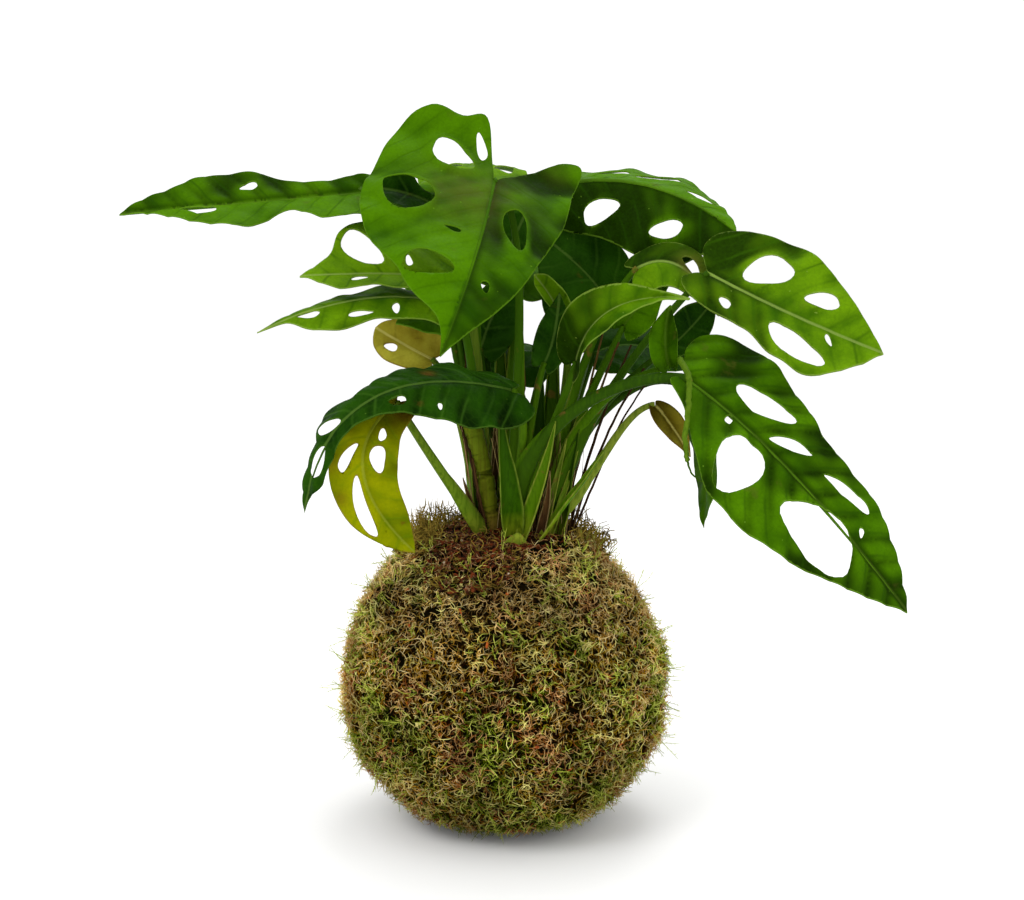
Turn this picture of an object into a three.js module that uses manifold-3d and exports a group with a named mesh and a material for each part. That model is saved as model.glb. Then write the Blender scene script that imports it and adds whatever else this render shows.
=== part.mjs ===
// Kokedama: a small-leaved, holed monstera growing from a ball of soil wrapped in moss.
// Millimetres, +Z up. The origin is the middle of the ball's flat foot; the front faces -Y.
import * as THREE from 'three';
import { mergeVertices } from 'three/addons/utils/BufferGeometryUtils.js';
import Module from 'manifold-3d';

const wasm = await Module();
wasm.setup();

// Driving dimensions of the ball
const CLEARANCE = 0.3;
const STALK_CLEARANCE = 0.35;   // round a stalk in its own blade
const FOOT_RADIUS = 22;
const MOSS_THICKNESS = 9;
const BALL_SEGMENTS = 40;
const MOSS_ROWS = 14;
const INNER_ROWS = [0.12, 0.24, 0.38, 0.54, 0.7, 0.86, 1];
const MOSS_LUMP = 1.6;
// Radius and height up the outside of the moss, from the foot's edge to the top opening
const MOSS_PROFILE = [
  [FOOT_RADIUS, 0], [43, 7], [58, 23], [66, 39], [68.5, 55],
  [67, 72], [61.5, 91], [51.5, 107], [41, 116.5], [31, 121.5],
];
const SOIL_DOME_HEIGHT = 124.5;
// Across the soil's top: share of its radius, and how far it lies under the dome's height
const SOIL_DOME = [[1, 4.5], [0.7, 1.5], [0.36, 0], [0, 0]];

// Driving dimensions of the plant
const STEM_FOOT_HEIGHT = 100;
const STEM_TOP_HEIGHT = 134;
const STEM_RADIUS = [4.2, 3.1];
const STEM_SIDES = 9;
const STALK_RADIUS = [2.6, 1.3];
const STALK_SIDES = 6;
const STALK_STEPS = 9;
const STALK_ROOT = 5;           // how far stalks reach down into their stem
const STALK_OVERRUN = 3;        // how many clearances its room in the blade runs past a stalk's end
const SHEATH_FLARE = 0.9;       // how much wider a stalk is at its sheath
const SHEATH_END = 0.4;         // share of the stalk that the sheath takes
const BLADE_THICKNESS = 0.8;
const BLADE_STRIPS = 8;         // crosswise folds that let a blade bend
const RIM_POINTS = 16;
const HOLE_POINTS = 8;
const SNAP = 0.33;              // corners this near a fold line count as on it

const colours = {
  moss: [0x5a4c20, 1.0],
  soil: [0x3e2a1c, 1.0],
  leafGreen: [0x3f6e0c, 0.45],
  leafDark: [0x27480a, 0.35],
  leafYoung: [0x5a8a1c, 0.45],
  leafYellow: [0x87931c, 0.5],
  leafWithered: [0x8a7f2c, 0.7],
  stalk: [0x5f7a22, 0.5],
};
const materials = {};
for (const [name, [color, roughness]] of Object.entries(colours)) {
  materials[name] = new THREE.MeshStandardMaterial({ color, roughness, metalness: 0 });
}

// Each shoot stands in its own hole in the soil
const shoots = {
  a: { name: 'shoot_a_left', foot: [-8, 1], top: [-11, 1] },
  b: { name: 'shoot_b_front', foot: [4, -11], top: [4, -13] },
  c: { name: 'shoot_c_right', foot: [17, -4], top: [20, -5] },
  d: { name: 'shoot_d_back_left', foot: [0, 13], top: [-2, 16] },
  e: { name: 'shoot_e_back_right', foot: [15, 12], top: [18, 14] },
};

// Every leaf: its midrib runs from base through middle to tip, and face is the way its upper side
// looks. rims are the left and right margins and holes the slits, drawn on the flat blade as
// [along, across] and [along, across, length, breadth, lean]. fold and bow (degrees) tilt and roll
// each half, rise lifts the lobes behind the stalk, stalk holds the two bends of the leaf stalk, and
// stalkSize is how much thicker than usual it is.
const leaves = [
  {
    name: 'leaf_01_front_crest', tone: 'leafGreen', shoot: 'b',
    base: [-4, -15, 265], middle: [-11, -58, 237], tip: [-23, -90, 204], face: [0.05, -0.5, 0.86],
    fold: [-6, 10], bow: [-12, -10], rise: 0.011, stalk: [[3, -14, 175], [13, 4, 250]],
    rims: [
      [[-10, 14], [-18, 26], [-18, 34], [0, 31], [20, 30], [40, 25], [60, 20], [74, 14], [88, 6]],
      [[-12, -2], [-30, -6], [-29, -16], [-31, -29], [-21, -40], [2, -47], [28, -49], [46, -44],
        [58, -36], [66, -27], [76, -18], [86, -5]],
    ],
    holes: [
      [-9, -18, 20, 13, 50], [-17, -7, 13, 4, 16], [22, -32, 24, 20, 20], [31, 12, 24, 9, 14],
      [62, -16, 19, 13, -82], [65, 7, 6, 3, 20], [38, -11, 7, 3, 80],
    ],
  },
  {
    name: 'leaf_02_top_right', tone: 'leafDark', shoot: 'e',
    base: [21, 25, 263], middle: [58, 14, 263], tip: [93, -4, 245], face: [0.1, -0.3, 0.95],
    fold: [-9, -50], bow: [-6, -20], stalk: [[22, 20, 180], [20, 26, 245]],
    rims: [
      [[-12, 10], [-10, 24], [8, 33], [24, 35], [42, 32], [60, 20], [74, 8]],
      [[-7, -10], [0, -20], [22, -25], [46, -29], [66, -28], [78, -14]],
    ],
    holes: [
      [20, -14, 19, 10, 22], [56, -15, 16, 8, 28], [38, 15, 18, 9, 20], [60, 9, 14, 6, 16],
      [20, 16, 14, 9, 24],
    ],
  },
  {
    name: 'leaf_03_right_upper', tone: 'leafYoung', shoot: 'c',
    base: [80, -18, 229], middle: [111, -31, 214], tip: [145, -45, 200], face: [0.25, -0.86, 0.45],
    fold: [10, 4], bow: [0, 0], stalk: [[28, -10, 172], [66, -20, 216]],
    rims: [
      [[-7, 8], [-5, 17], [3, 23], [16, 26], [30, 27], [43, 23], [58, 14], [69, 6]],
      [[-7, -8], [0, -14], [14, -15], [27, -16], [40, -21], [53, -23], [62, -18], [71, -8]],
    ],
    holes: [
      [21, 12, 20, 13, 32], [46, 10, 14, 7, 12], [45, -13, 27, 10, -16], [55, -4, 6, 2, -46],
      [13, -9, 6, 4, -30],
    ],
  },
  {
    name: 'leaf_04_right_lower', tone: 'leafGreen', shoot: 'b',
    base: [70, -45, 190], middle: [108, -62, 157], tip: [152, -72, 105], face: [0.35, -0.75, 0.55],
    fold: [6, 2], bow: [-10, -10], stalkSize: 1.5, stalk: [[2, -26, 165], [40, -38, 194]],
    rims: [
      [[-9, 10], [-9, 22], [5, 32], [22, 31], [40, 26], [60, 22], [82, 19], [102, 12]],
      [[-4, -6], [8, -12], [22, -24], [38, -33], [57, -34], [77, -28], [96, -18], [112, -8]],
    ],
    holes: [
      [28, 13, 26, 10, 13], [46, 8, 18, 5, 30], [38, -16, 26, 19, -74], [78, -11, 35, 23, 6],
      [74, 12, 22, 5, 6], [23, -3, 5, 3, -78], [88, 5, 4, 2, -39],
    ],
  },
  {
    name: 'leaf_05_far_left', tone: 'leafGreen', shoot: 'a',
    base: [-54, 10, 260], middle: [-103, -4, 256], tip: [-152, -14, 252], face: [0, -0.5, 0.87],
    fold: [8, 22], bow: [-4, -8], stalk: [[-14, 6, 185], [-30, 14, 258]],
    rims: [
      [[-6, 8], [4, 18], [22, 20], [34, 13], [46, 17], [57, 21], [70, 15], [82, 9], [92, 3]],
      [[-5, -5], [4, -9], [20, -7], [32, -9], [44, -15], [58, -16], [70, -14], [80, -10], [91, -6]],
    ],
    holes: [[70, 5, 14, 7, -8], [49, -8, 8, 4, 20]],
  },
  {
    name: 'leaf_06_left_upper', tone: 'leafYoung', shoot: 'a',
    base: [-20, -8, 227], middle: [-51, -22, 229], tip: [-79, -34, 229], face: [0, -0.6, 0.8],
    fold: [15, 5], bow: [0, 0], stalk: [[-10, 0, 170], [-10, -2, 220]],
    rims: [
      [[-5, 6], [4, 12], [20, 14], [36, 11], [50, 12], [59, 6]],
      [[-6, -10], [2, -22], [16, -32], [32, -30], [43, -23], [49, -12], [57, -5]],
    ],
    holes: [[36, -14, 21, 14, -68], [42, 5, 8, 3, 15], [18, -7, 7, 3, 79]],
  },
  {
    name: 'leaf_07_left_middle', tone: 'leafGreen', shoot: 'a',
    base: [-21, -15, 216], middle: [-55, -32, 220], tip: [-95, -42, 208], face: [0, -0.65, 0.76],
    fold: [0, -28], bow: [0, 0], stalk: [[-11, -6, 165], [-12, -10, 208]],
    rims: [
      [[-5, 6], [2, 12], [16, 13], [34, 12], [52, 13], [63, 9], [70, 2]],
      [[-5, -6], [2, -12], [20, -13], [38, -11], [54, -7], [68, -3]],
    ],
    holes: [[61, 2, 9, 4, -11], [42, 8, 10, 3, -8], [27, 7, 6, 3, 71]],
  },
  {
    name: 'leaf_08_yellow_brown', tone: 'leafWithered', shoot: 'a',
    base: [-30, 8, 192], middle: [-41, 14, 197], tip: [-54, 20, 204], face: [-0.1, -0.8, 0.6],
    fold: [0, 0], bow: [0, 0], stalk: [[-14, 6, 150], [-20, 8, 182]],
    rims: [
      [[-2, 4], [6, 8], [16, 10], [25, 7]],
      [[-3, -6], [4, -14], [16, -14], [26, -7]],
    ],
    holes: [[18, 4, 6, 4, 10]],
  },
  {
    name: 'leaf_09_dark_arched', tone: 'leafDark', shoot: 'b',
    base: [3, -30, 184], middle: [-50, -66, 185], tip: [-76, -62, 141], face: [-0.25, -0.7, 0.66],
    fold: [-6, -12], bow: [-15, -15], stalk: [[4, -20, 146], [12, -25, 172]],
    rims: [
      [[-8, 8], [0, 16], [13, 20], [30, 21], [45, 17], [60, 10], [79, 5], [94, 6], [104, 6],
        [111, 2]],
      [[-7, -6], [0, -13], [15, -17], [38, -15], [57, -11], [70, -7], [82, -13], [92, -6],
        [104, -4], [111, -3]],
    ],
    holes: [[84, -4, 11, 6, -34], [97, 1, 13, 6, 6], [57, 6, 7, 4, -12], [41, 12, 4, 2, 66]],
  },
  {
    name: 'leaf_10_yellow_green', tone: 'leafYellow', shoot: 'a',
    base: [-41, -50, 182], middle: [-53, -66, 158], tip: [-34, -58, 125], face: [-0.15, -0.95, 0.3],
    fold: [6, 6], bow: [0, 0], stalk: [[-20, -18, 142], [-36, -42, 170]],
    rims: [
      [[-6, 6], [0, 9], [12, 11], [26, 14], [42, 12], [56, 9], [67, 4]],
      [[-5, -5], [4, -7], [18, -10], [32, -13], [46, -12], [57, -8], [66, -4]],
    ],
    holes: [[28, -6, 11, 4, -31], [28, 6, 13, 6, 4], [46, -5, 23, 5, -10], [17, 5, 7, 3, 20]],
  },
  {
    name: 'leaf_11_young_folded', tone: 'leafYoung', shoot: 'b',
    base: [28, -28, 195], middle: [41, -46, 217], tip: [71, -44, 221], face: [-0.2, -0.75, 0.62],
    fold: [40, 30], bow: [0, 0], stalk: [[12, -18, 150], [24, -24, 180]],
    rims: [
      [[-3, 5], [6, 10], [22, 12], [38, 8], [50, 3]],
      [[-4, -7], [6, -14], [22, -14], [38, -9], [50, -4]],
    ],
    holes: [],
  },
  {
    name: 'leaf_12_right_inner', tone: 'leafYoung', shoot: 'c',
    base: [53, -4, 230], middle: [70, -9, 231], tip: [85, -16, 212], face: [0.1, -0.8, 0.6],
    fold: [0, 0], bow: [0, 0], stalk: [[22, 2, 176], [40, 2, 216]],
    rims: [
      [[-4, 4], [4, 7], [18, 10], [29, 7]],
      [[-4, -6], [4, -13], [16, -12], [28, -8]],
    ],
    holes: [[22, 3, 10, 4, -20]],
  },
  {
    name: 'leaf_13_centre_dark', tone: 'leafDark', shoot: 'e',
    base: [41, 22, 217], middle: [30, 20, 230], tip: [12, 20, 244], face: [-0.1, -0.85, 0.5],
    fold: [0, 0], bow: [0, 0], stalk: [[24, 12, 170], [40, 18, 205]],
    rims: [
      [[-9, 8], [-4, 22], [12, 25], [28, 14]],
      [[-7, -8], [0, -16], [14, -18], [28, -12]],
    ],
    holes: [],
  },
  {
    name: 'leaf_14_young_upright', tone: 'leafYoung', shoot: 'c',
    base: [64, -36, 194], middle: [62, -40, 206], tip: [64, -38, 218], face: [-0.2, -0.95, 0.2],
    fold: [35, 35], bow: [0, 0], stalk: [[24, -6, 176], [52, -24, 190]],
    rims: [
      [[-1, 3], [6, 7], [14, 7], [21, 3]],
      [[-1, -3], [6, -6], [14, -6], [21, -3]],
    ],
    holes: [],
  },
  {
    name: 'leaf_15_right_hanging', tone: 'leafGreen', shoot: 'e',
    base: [77, 4, 176], middle: [81, -4, 154], tip: [81, -6, 124], face: [-0.95, -0.3, 0.1],
    fold: [0, 0], bow: [0, 0], stalk: [[30, 12, 170], [64, 14, 196]],
    rims: [
      [[-4, 5], [6, 12], [22, 13], [40, 9]],
      [[-4, -5], [6, -11], [22, -12], [42, -7]],
    ],
    holes: [],
  },
  {
    name: 'leaf_16_small_withered', tone: 'leafWithered', shoot: 'c',
    base: [60, -15, 176], middle: [66, -18, 169], tip: [75, -14, 155], face: [0.3, -0.9, 0.3],
    fold: [20, 20], bow: [0, 0], stalk: [[36, -8, 140], [46, -14, 176]],
    rims: [
      [[-1, 2], [6, 5], [14, 5]],
      [[-1, -2], [6, -6], [14, -5]],
    ],
    holes: [],
  },
  {
    name: 'leaf_17_right_behind', tone: 'leafDark', shoot: 'e',
    base: [38, 25, 193], middle: [59, 30, 195], tip: [84, 26, 184], face: [0.1, -0.5, 0.85],
    fold: [0, 0], bow: [0, 0], stalk: [[24, 18, 150], [32, 24, 182]],
    rims: [
      [[-6, 6], [4, 14], [22, 15], [38, 8]],
      [[-6, -8], [4, -19], [22, -20], [38, -9]],
    ],
    holes: [],
  },
  {
    name: 'leaf_18_back_top', tone: 'leafYoung', shoot: 'd',
    base: [-4, 26, 260], middle: [-14, 64, 271], tip: [-28, 108, 262], face: [-0.1, 0, 0.99],
    fold: [-10, -10], bow: [-10, -10], stalk: [[-2, 22, 185], [-2, 20, 248]],
    rims: [
      [[-9, 10], [-2, 24], [20, 28], [48, 24], [70, 12]],
      [[-9, -8], [-2, -13], [20, -20], [48, -19], [70, -9]],
    ],
    holes: [
      [18, 12, 16, 9, 30], [42, 11, 18, 8, 20], [26, -10, 15, 8, -26], [50, -9, 15, 6, -18],
    ],
  },
  {
    name: 'leaf_19_back_left', tone: 'leafGreen', shoot: 'd',
    base: [-12, 38, 222], middle: [-26, 72, 232], tip: [-46, 116, 214], face: [-0.25, 0.1, 0.96],
    fold: [-12, -12], bow: [-8, -8], stalk: [[-6, 20, 170], [-10, 30, 210]],
    rims: [
      [[-9, 10], [-2, 22], [18, 28], [44, 24], [66, 12]],
      [[-9, -10], [-2, -20], [18, -24], [44, -21], [66, -10]],
    ],
    holes: [
      [18, 13, 16, 9, 30], [42, 11, 19, 8, 20], [24, -11, 16, 8, -26], [50, -8, 18, 6, -16],
    ],
  },
  {
    name: 'leaf_20_back_right', tone: 'leafGreen', shoot: 'e',
    base: [24, 44, 218], middle: [40, 78, 228], tip: [56, 118, 208], face: [0.25, 0.1, 0.96],
    fold: [-10, -14], bow: [-8, -8], stalk: [[18, 24, 160], [20, 34, 200]],
    rims: [
      [[-9, 10], [-2, 20], [18, 25], [44, 22], [64, 11]],
      [[-9, -10], [-2, -22], [18, -27], [44, -24], [64, -12]],
    ],
    holes: [
      [18, 12, 16, 8, 28], [44, 10, 20, 8, 18], [22, -13, 17, 9, -28], [48, -10, 20, 7, -18],
    ],
  },
  {
    name: 'leaf_21_back_lower', tone: 'leafDark', shoot: 'd',
    base: [0, 40, 184], middle: [-4, 68, 194], tip: [-14, 104, 176], face: [0, 0.15, 0.98],
    fold: [-12, -12], bow: [-8, -8], stalk: [[0, 24, 150], [2, 32, 176]],
    rims: [
      [[-8, 9], [-2, 18], [16, 22], [38, 18], [56, 9]],
      [[-8, -9], [-2, -18], [16, -21], [38, -18], [56, -8]],
    ],
    holes: [
      [18, 10, 14, 7, 28], [40, 8, 16, 6, 18], [20, -10, 14, 7, -28], [42, -8, 15, 6, -18],
    ],
  },
  {
    name: 'leaf_22_young_rolled', tone: 'leafYoung', shoot: 'e',
    base: [25, 6, 205], middle: [20, 5, 216], tip: [12, 4, 227], face: [0.3, -0.95, 0],
    fold: [30, 30], bow: [40, 40], stalk: [[22, 10, 160], [28, 8, 190]],
    rims: [
      [[-1, 3], [4, 6], [14, 7], [22, 5]],
      [[-1, -3], [4, -6], [14, -7], [22, -5]],
    ],
    holes: [],
  },
];

const vector = ([x, y, z]) => new THREE.Vector3(x, y, z);
const radians = THREE.MathUtils.degToRad;

// A closed geometry as a solid, with its faces turned outwards
function solidOf(geometry) {
  const bare = geometry.clone();
  bare.deleteAttribute('normal');
  bare.deleteAttribute('uv');
  const welded = mergeVertices(bare, 1e-4);
  const corners = welded.index.array;
  const triangles = [];
  for (let i = 0; i < corners.length; i += 3) {
    const [a, b, c] = corners.slice(i, i + 3);
    if (a !== b && b !== c && c !== a) triangles.push(a, b, c);
  }
  const build = (triVerts) => new wasm.Manifold(new wasm.Mesh({
    numProp: 3,
    vertProperties: new Float32Array(welded.attributes.position.array),
    triVerts: new Uint32Array(triVerts),
  }));
  const solid = build(triangles);
  return solid.volume() > 0 ? solid : build(triangles.reverse());
}

function largestPiece(solid) {
  return solid.decompose().sort((one, other) => other.volume() - one.volume())[0];
}

function meshOf(name, solid, material) {
  const { vertProperties, triVerts } = solid.getMesh();
  const geometry = new THREE.BufferGeometry();
  geometry.setAttribute('position', new THREE.BufferAttribute(vertProperties, 3));
  geometry.setIndex(new THREE.BufferAttribute(triVerts, 1));
  geometry.computeVertexNormals();
  const mesh = new THREE.Mesh(geometry, material);
  mesh.name = name;
  return mesh;
}

// A lathe round Z whose first rows are moved in or out by lump(angle, height)
function turned(profile, lumpyRows, lump) {
  const geometry = new THREE.LatheGeometry(profile, BALL_SEGMENTS);
  geometry.rotateX(Math.PI / 2);
  const position = geometry.attributes.position;
  for (let i = 0; i < position.count; i += 1) {
    const point = new THREE.Vector3().fromBufferAttribute(position, i);
    const radius = Math.hypot(point.x, point.y);
    if (i % profile.length < lumpyRows && radius > 0) {
      const grow = 1 + lump(Math.atan2(point.y, point.x), point.z) / radius;
      position.setXY(i, point.x * grow, point.y * grow);
    }
  }
  return solidOf(geometry);
}

// Ball

const mossOutside = new THREE.SplineCurve(MOSS_PROFILE.map(([r, z]) => new THREE.Vector2(r, z)));

function insideAt(share, depth) {
  const point = mossOutside.getPoint(share);
  const along = mossOutside.getTangent(share);
  return new THREE.Vector2(point.x - along.y * depth, point.y + along.x * depth);
}

function mossSkin() {
  const outer = [new THREE.Vector2(0, 0), ...mossOutside.getPoints(MOSS_ROWS)];
  const inner = INNER_ROWS.map((share) => insideAt(share, MOSS_THICKNESS));
  const profile = [...outer, ...inner.toReversed(), new THREE.Vector2(0, inner[0].y)];
  const lump = (angle, height) => {
    const fade = THREE.MathUtils.smoothstep(height, 0, 14)
      * (1 - THREE.MathUtils.smoothstep(height, 106, 121));
    const waves = Math.sin(5 * angle + height * 0.09) + Math.sin(9 * angle - height * 0.17)
      + Math.sin(2 * angle + height * 0.21);
    return (MOSS_LUMP * fade * waves) / 2;
  };
  return turned(profile, outer.length, lump);
}

function soilBall() {
  const side = INNER_ROWS.map((share) => insideAt(share, MOSS_THICKNESS + CLEARANCE));
  const rim = side.at(-1).x;
  const top = SOIL_DOME.map(
    ([reach, drop]) => new THREE.Vector2(rim * reach, SOIL_DOME_HEIGHT - drop),
  );
  return turned([new THREE.Vector2(0, side[0].y), ...side, ...top], 0);
}

// Stalks and stems

// A round bar bent along a curve; wide is how much broader than deep it is at each share
function bentBar(curve, radiusAt, wideAt, sides, steps) {
  const geometry = new THREE.CylinderGeometry(1, 1, 1, sides, steps);
  const position = geometry.attributes.position;
  const out = curve.getPoint(1).sub(curve.getPoint(0)).setZ(0).add(new THREE.Vector3(0, -0.01, 0));
  for (let i = 0; i < position.count; i += 1) {
    const share = position.getY(i) + 0.5;
    const along = curve.getTangent(share);
    const broad = new THREE.Vector3().crossVectors(along, out).normalize();
    const deep = new THREE.Vector3().crossVectors(broad, along).normalize();
    const radius = radiusAt(share);
    const point = curve.getPoint(share)
      .addScaledVector(broad, position.getX(i) * radius * wideAt(share))
      .addScaledVector(deep, position.getZ(i) * radius);
    position.setXYZ(i, point.x, point.y, point.z);
  }
  return solidOf(geometry);
}

function stemOf(shoot, extra) {
  const foot = new THREE.Vector3(shoot.foot[0], shoot.foot[1], STEM_FOOT_HEIGHT - extra);
  const top = new THREE.Vector3(shoot.top[0], shoot.top[1], STEM_TOP_HEIGHT);
  const knee = new THREE.Vector3(shoot.foot[0], shoot.foot[1], (foot.z + top.z) / 2);
  const curve = new THREE.QuadraticBezierCurve3(foot, knee, top);
  const radiusAt = (share) => THREE.MathUtils.lerp(...STEM_RADIUS, share) + extra;
  return bentBar(curve, radiusAt, () => 1, STEM_SIDES, 4);
}

// Leaf stalks start inside the top of their stem. With extra, one is thicker all round and runs on
// past its end: the room a stalk takes up in its blade.
function stalkOf(leaf, extra = 0) {
  const shoot = shoots[leaf.shoot];
  const start = new THREE.Vector3(shoot.top[0], shoot.top[1], STEM_TOP_HEIGHT - STALK_ROOT);
  const [first, second] = leaf.stalk.map(vector);
  const base = vector(leaf.base);
  const end = base.clone().add(base.clone().sub(second).setLength(STALK_OVERRUN * extra));
  const curve = new THREE.CubicBezierCurve3(start, first, second, end);
  const size = leaf.stalkSize ?? 1;
  const radiusAt = (share) => THREE.MathUtils.lerp(...STALK_RADIUS, share) * size + extra;
  const wideAt = (share) => 1 + SHEATH_FLARE * Math.max(0, 1 - share / SHEATH_END);
  return bentBar(curve, radiusAt, wideAt, STALK_SIDES, STALK_STEPS);
}

// Blades

class Blade {
  constructor(leaf) {
    const [base, middle, tip] = [leaf.base, leaf.middle, leaf.tip].map(vector);
    const pull = middle.clone().multiplyScalar(2).sub(base.clone().add(tip).multiplyScalar(0.5));
    this.leaf = leaf;
    this.midrib = new THREE.QuadraticBezierCurve3(base, pull, tip);
    this.length = this.midrib.getLength();
    this.face = vector(leaf.face).normalize();
    this.half = leaf.rims.map((rim) => Math.max(...rim.map(([, across]) => Math.abs(across))));
  }

  // Where a spot of the flat blade lies once the blade is bent
  place(along, across) {
    const { fold, bow, rise = 0 } = this.leaf;
    const share = THREE.MathUtils.clamp(along / this.length, 0, 1);
    const point = this.midrib.getPointAt(share);
    const forward = this.midrib.getTangentAt(share);
    const up = this.face.clone().addScaledVector(forward, -this.face.dot(forward)).normalize();
    const left = new THREE.Vector3().crossVectors(up, forward);
    if (along < 0) point.addScaledVector(forward, along).addScaledVector(up, rise * along * along);
    const side = across >= 0 ? 0 : 1;
    const reach = Math.abs(across);
    const tilt = radians(fold[side]);
    const roll = radians(bow[side] || 0.01) / this.half[side];
    const aside = (Math.sin(tilt + roll * reach) - Math.sin(tilt)) / roll;
    const lift = (Math.cos(tilt) - Math.cos(tilt + roll * reach)) / roll;
    return point.addScaledVector(left, Math.sign(across) * aside).addScaledVector(up, lift);
  }

  normal(along, across) {
    const step = across >= 0 ? 0.5 : -0.5;
    const here = this.place(along, across);
    const ahead = this.place(along + 0.5, across).sub(here);
    const aside = this.place(along, across + step).sub(here).multiplyScalar(Math.sign(step));
    return ahead.cross(aside).normalize();
  }
}

// The blade's outline with its holes, flat, as triangles between [along, across] points
function flatBlade(blade) {
  const margins = blade.leaf.rims.map((rim) => {
    const through = [[0, 0], ...rim, [blade.length, 0]].map(([x, y]) => new THREE.Vector2(x, y));
    return new THREE.SplineCurve(through).getPoints(RIM_POINTS);
  });
  const outline = [...margins[1], ...margins[0].reverse().slice(1, -1)];
  const holes = blade.leaf.holes.map(([x, y, length, breadth, lean]) => new THREE.EllipseCurve(
    x, y, length / 2, breadth / 2, 0, 2 * Math.PI, false, radians(lean),
  ).getPoints(HOLE_POINTS).slice(0, -1));
  const points = [outline, ...holes].flat();
  const triangles = THREE.ShapeUtils.triangulateShape(outline, holes);
  return { points, triangles, kept: new Set(points.keys()), folds: [] };
}

const edgesOf = (triangles) => new Set(
  triangles.flatMap(([a, b, c]) => [`${a} ${b}`, `${b} ${c}`, `${c} ${a}`]),
);

// Cuts every triangle that crosses the line where distance(point) is 0. A cut corner is kept when
// it lies on the blade's edge or where two fold lines cross; the others only served the cutting.
function foldAlong({ points, triangles, kept, folds }, distance) {
  const edges = edgesOf(triangles);
  const side = points.map(distance).map((gap) => (Math.abs(gap) < SNAP ? 0 : Math.sign(gap)));
  const cuts = new Map();
  const cutBetween = (a, b) => {
    const key = `${Math.min(a, b)} ${Math.max(a, b)}`;
    if (!cuts.has(key)) {
      const share = distance(points[a]) / (distance(points[a]) - distance(points[b]));
      const cut = points.push(points[a].clone().lerp(points[b], share)) - 1;
      const onEdge = !edges.has(`${a} ${b}`) || !edges.has(`${b} ${a}`);
      const crossed = folds.filter((fold) => fold.has(a) && fold.has(b));
      if (onEdge || crossed.length) kept.add(cut);
      for (const fold of crossed) fold.add(cut);
      cuts.set(key, cut);
    }
    return cuts.get(key);
  };
  const result = [];
  for (const triangle of triangles) {
    const ring = [];
    for (let i = 0; i < 3; i += 1) {
      const [a, b] = [triangle[i], triangle[(i + 1) % 3]];
      ring.push([a, side[a]]);
      if (side[a] * side[b] < 0) ring.push([cutBetween(a, b), 0]);
    }
    for (const keep of [1, -1]) {
      const part = ring.filter(([, where]) => where === keep || where === 0);
      if (part.some(([, where]) => where === keep)) {
        for (let i = 1; i + 1 < part.length; i += 1) {
          result.push([part[0][0], part[i][0], part[i + 1][0]]);
        }
      }
    }
    if (ring.every(([, where]) => where === 0)) result.push(triangle);
  }
  const line = new Set([...side.keys()].filter((corner) => side[corner] === 0));
  for (const corner of line) {
    if (folds.some((fold) => fold.has(corner))) kept.add(corner);
  }
  for (const cut of cuts.values()) line.add(cut);
  return { points, triangles: result, kept, folds: [...folds, line] };
}

// The closed loops round a patch of triangles
function loopsRound(triangles, points) {
  const edges = edgesOf(triangles);
  const next = new Map();
  for (const edge of edges) {
    const [a, b] = edge.split(' ').map(Number);
    if (!edges.has(`${b} ${a}`)) next.set(a, [...(next.get(a) ?? []), b]);
  }
  const turn = (from, at, to) => {
    const back = points[from].clone().sub(points[at]).angle();
    return (points[to].clone().sub(points[at]).angle() - back + 4 * Math.PI) % (2 * Math.PI);
  };
  const loops = [];
  while (next.size) {
    const start = next.keys().next().value;
    const loop = [start];
    let [before, at] = [start, next.get(start)[0]];
    next.get(start).shift();
    while (at !== start) {
      loop.push(at);
      const choice = next.get(at).sort((one, other) => turn(before, at, other) - turn(before, at, one));
      [before, at] = [at, choice.shift()];
    }
    for (const corner of loop) if (!next.get(corner)?.length) next.delete(corner);
    loops.push(loop);
  }
  return loops;
}

// Draws each patch between the folds again with as few triangles as its kept corners allow
function redrawn({ points, triangles, kept, folds }, patchOf) {
  const patches = Map.groupBy(triangles, patchOf);
  const result = [];
  for (const patch of patches.values()) {
    const loops = loopsRound(patch, points)
      .map((loop) => loop.filter((corner) => kept.has(corner)))
      .filter((loop) => loop.length > 2);
    const shapes = loops.map((loop) => loop.map((corner) => points[corner]));
    const isOuter = shapes.map((shape) => THREE.ShapeUtils.area(shape) > 0);
    const inside = (shape, point) => {
      let crossings = 0;
      shape.forEach((a, i) => {
        const b = shape[(i + 1) % shape.length];
        const level = (a.y > point.y) !== (b.y > point.y);
        if (level && point.x < a.x + ((point.y - a.y) * (b.x - a.x)) / (b.y - a.y)) crossings += 1;
      });
      return crossings % 2 === 1;
    };
    loops.forEach((loop, i) => {
      if (!isOuter[i]) return;
      const within = loops.filter((hole, j) => !isOuter[j] && inside(shapes[i], shapes[j][0]));
      const ring = [loop, ...within].flat();
      const faces = THREE.ShapeUtils.triangulateShape(
        shapes[i], within.map((hole) => hole.map((corner) => points[corner])),
      );
      for (const face of faces) result.push(face.map((corner) => ring[corner]));
    });
  }
  return { points, triangles: result, kept, folds };
}

// Both faces have the same triangles, with walls along the margin and round each hole
function thickened(blade, { points, triangles }) {
  const count = points.length;
  const corners = new Float32Array(count * 6);
  points.forEach(({ x, y }, i) => {
    const place = blade.place(x, y);
    const half = blade.normal(x, y).multiplyScalar(BLADE_THICKNESS / 2);
    place.clone().add(half).toArray(corners, i * 3);
    place.clone().sub(half).toArray(corners, (count + i) * 3);
  });
  const edges = edgesOf(triangles);
  const faces = triangles.flatMap(([a, b, c]) => [a, b, c, count + a, count + c, count + b]);
  for (const edge of edges) {
    const [a, b] = edge.split(' ').map(Number);
    if (!edges.has(`${b} ${a}`)) faces.push(b, a, count + a, b, count + a, count + b);
  }
  const geometry = new THREE.BufferGeometry();
  geometry.setAttribute('position', new THREE.BufferAttribute(corners, 3));
  geometry.setIndex(faces);
  return solidOf(geometry);
}

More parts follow.
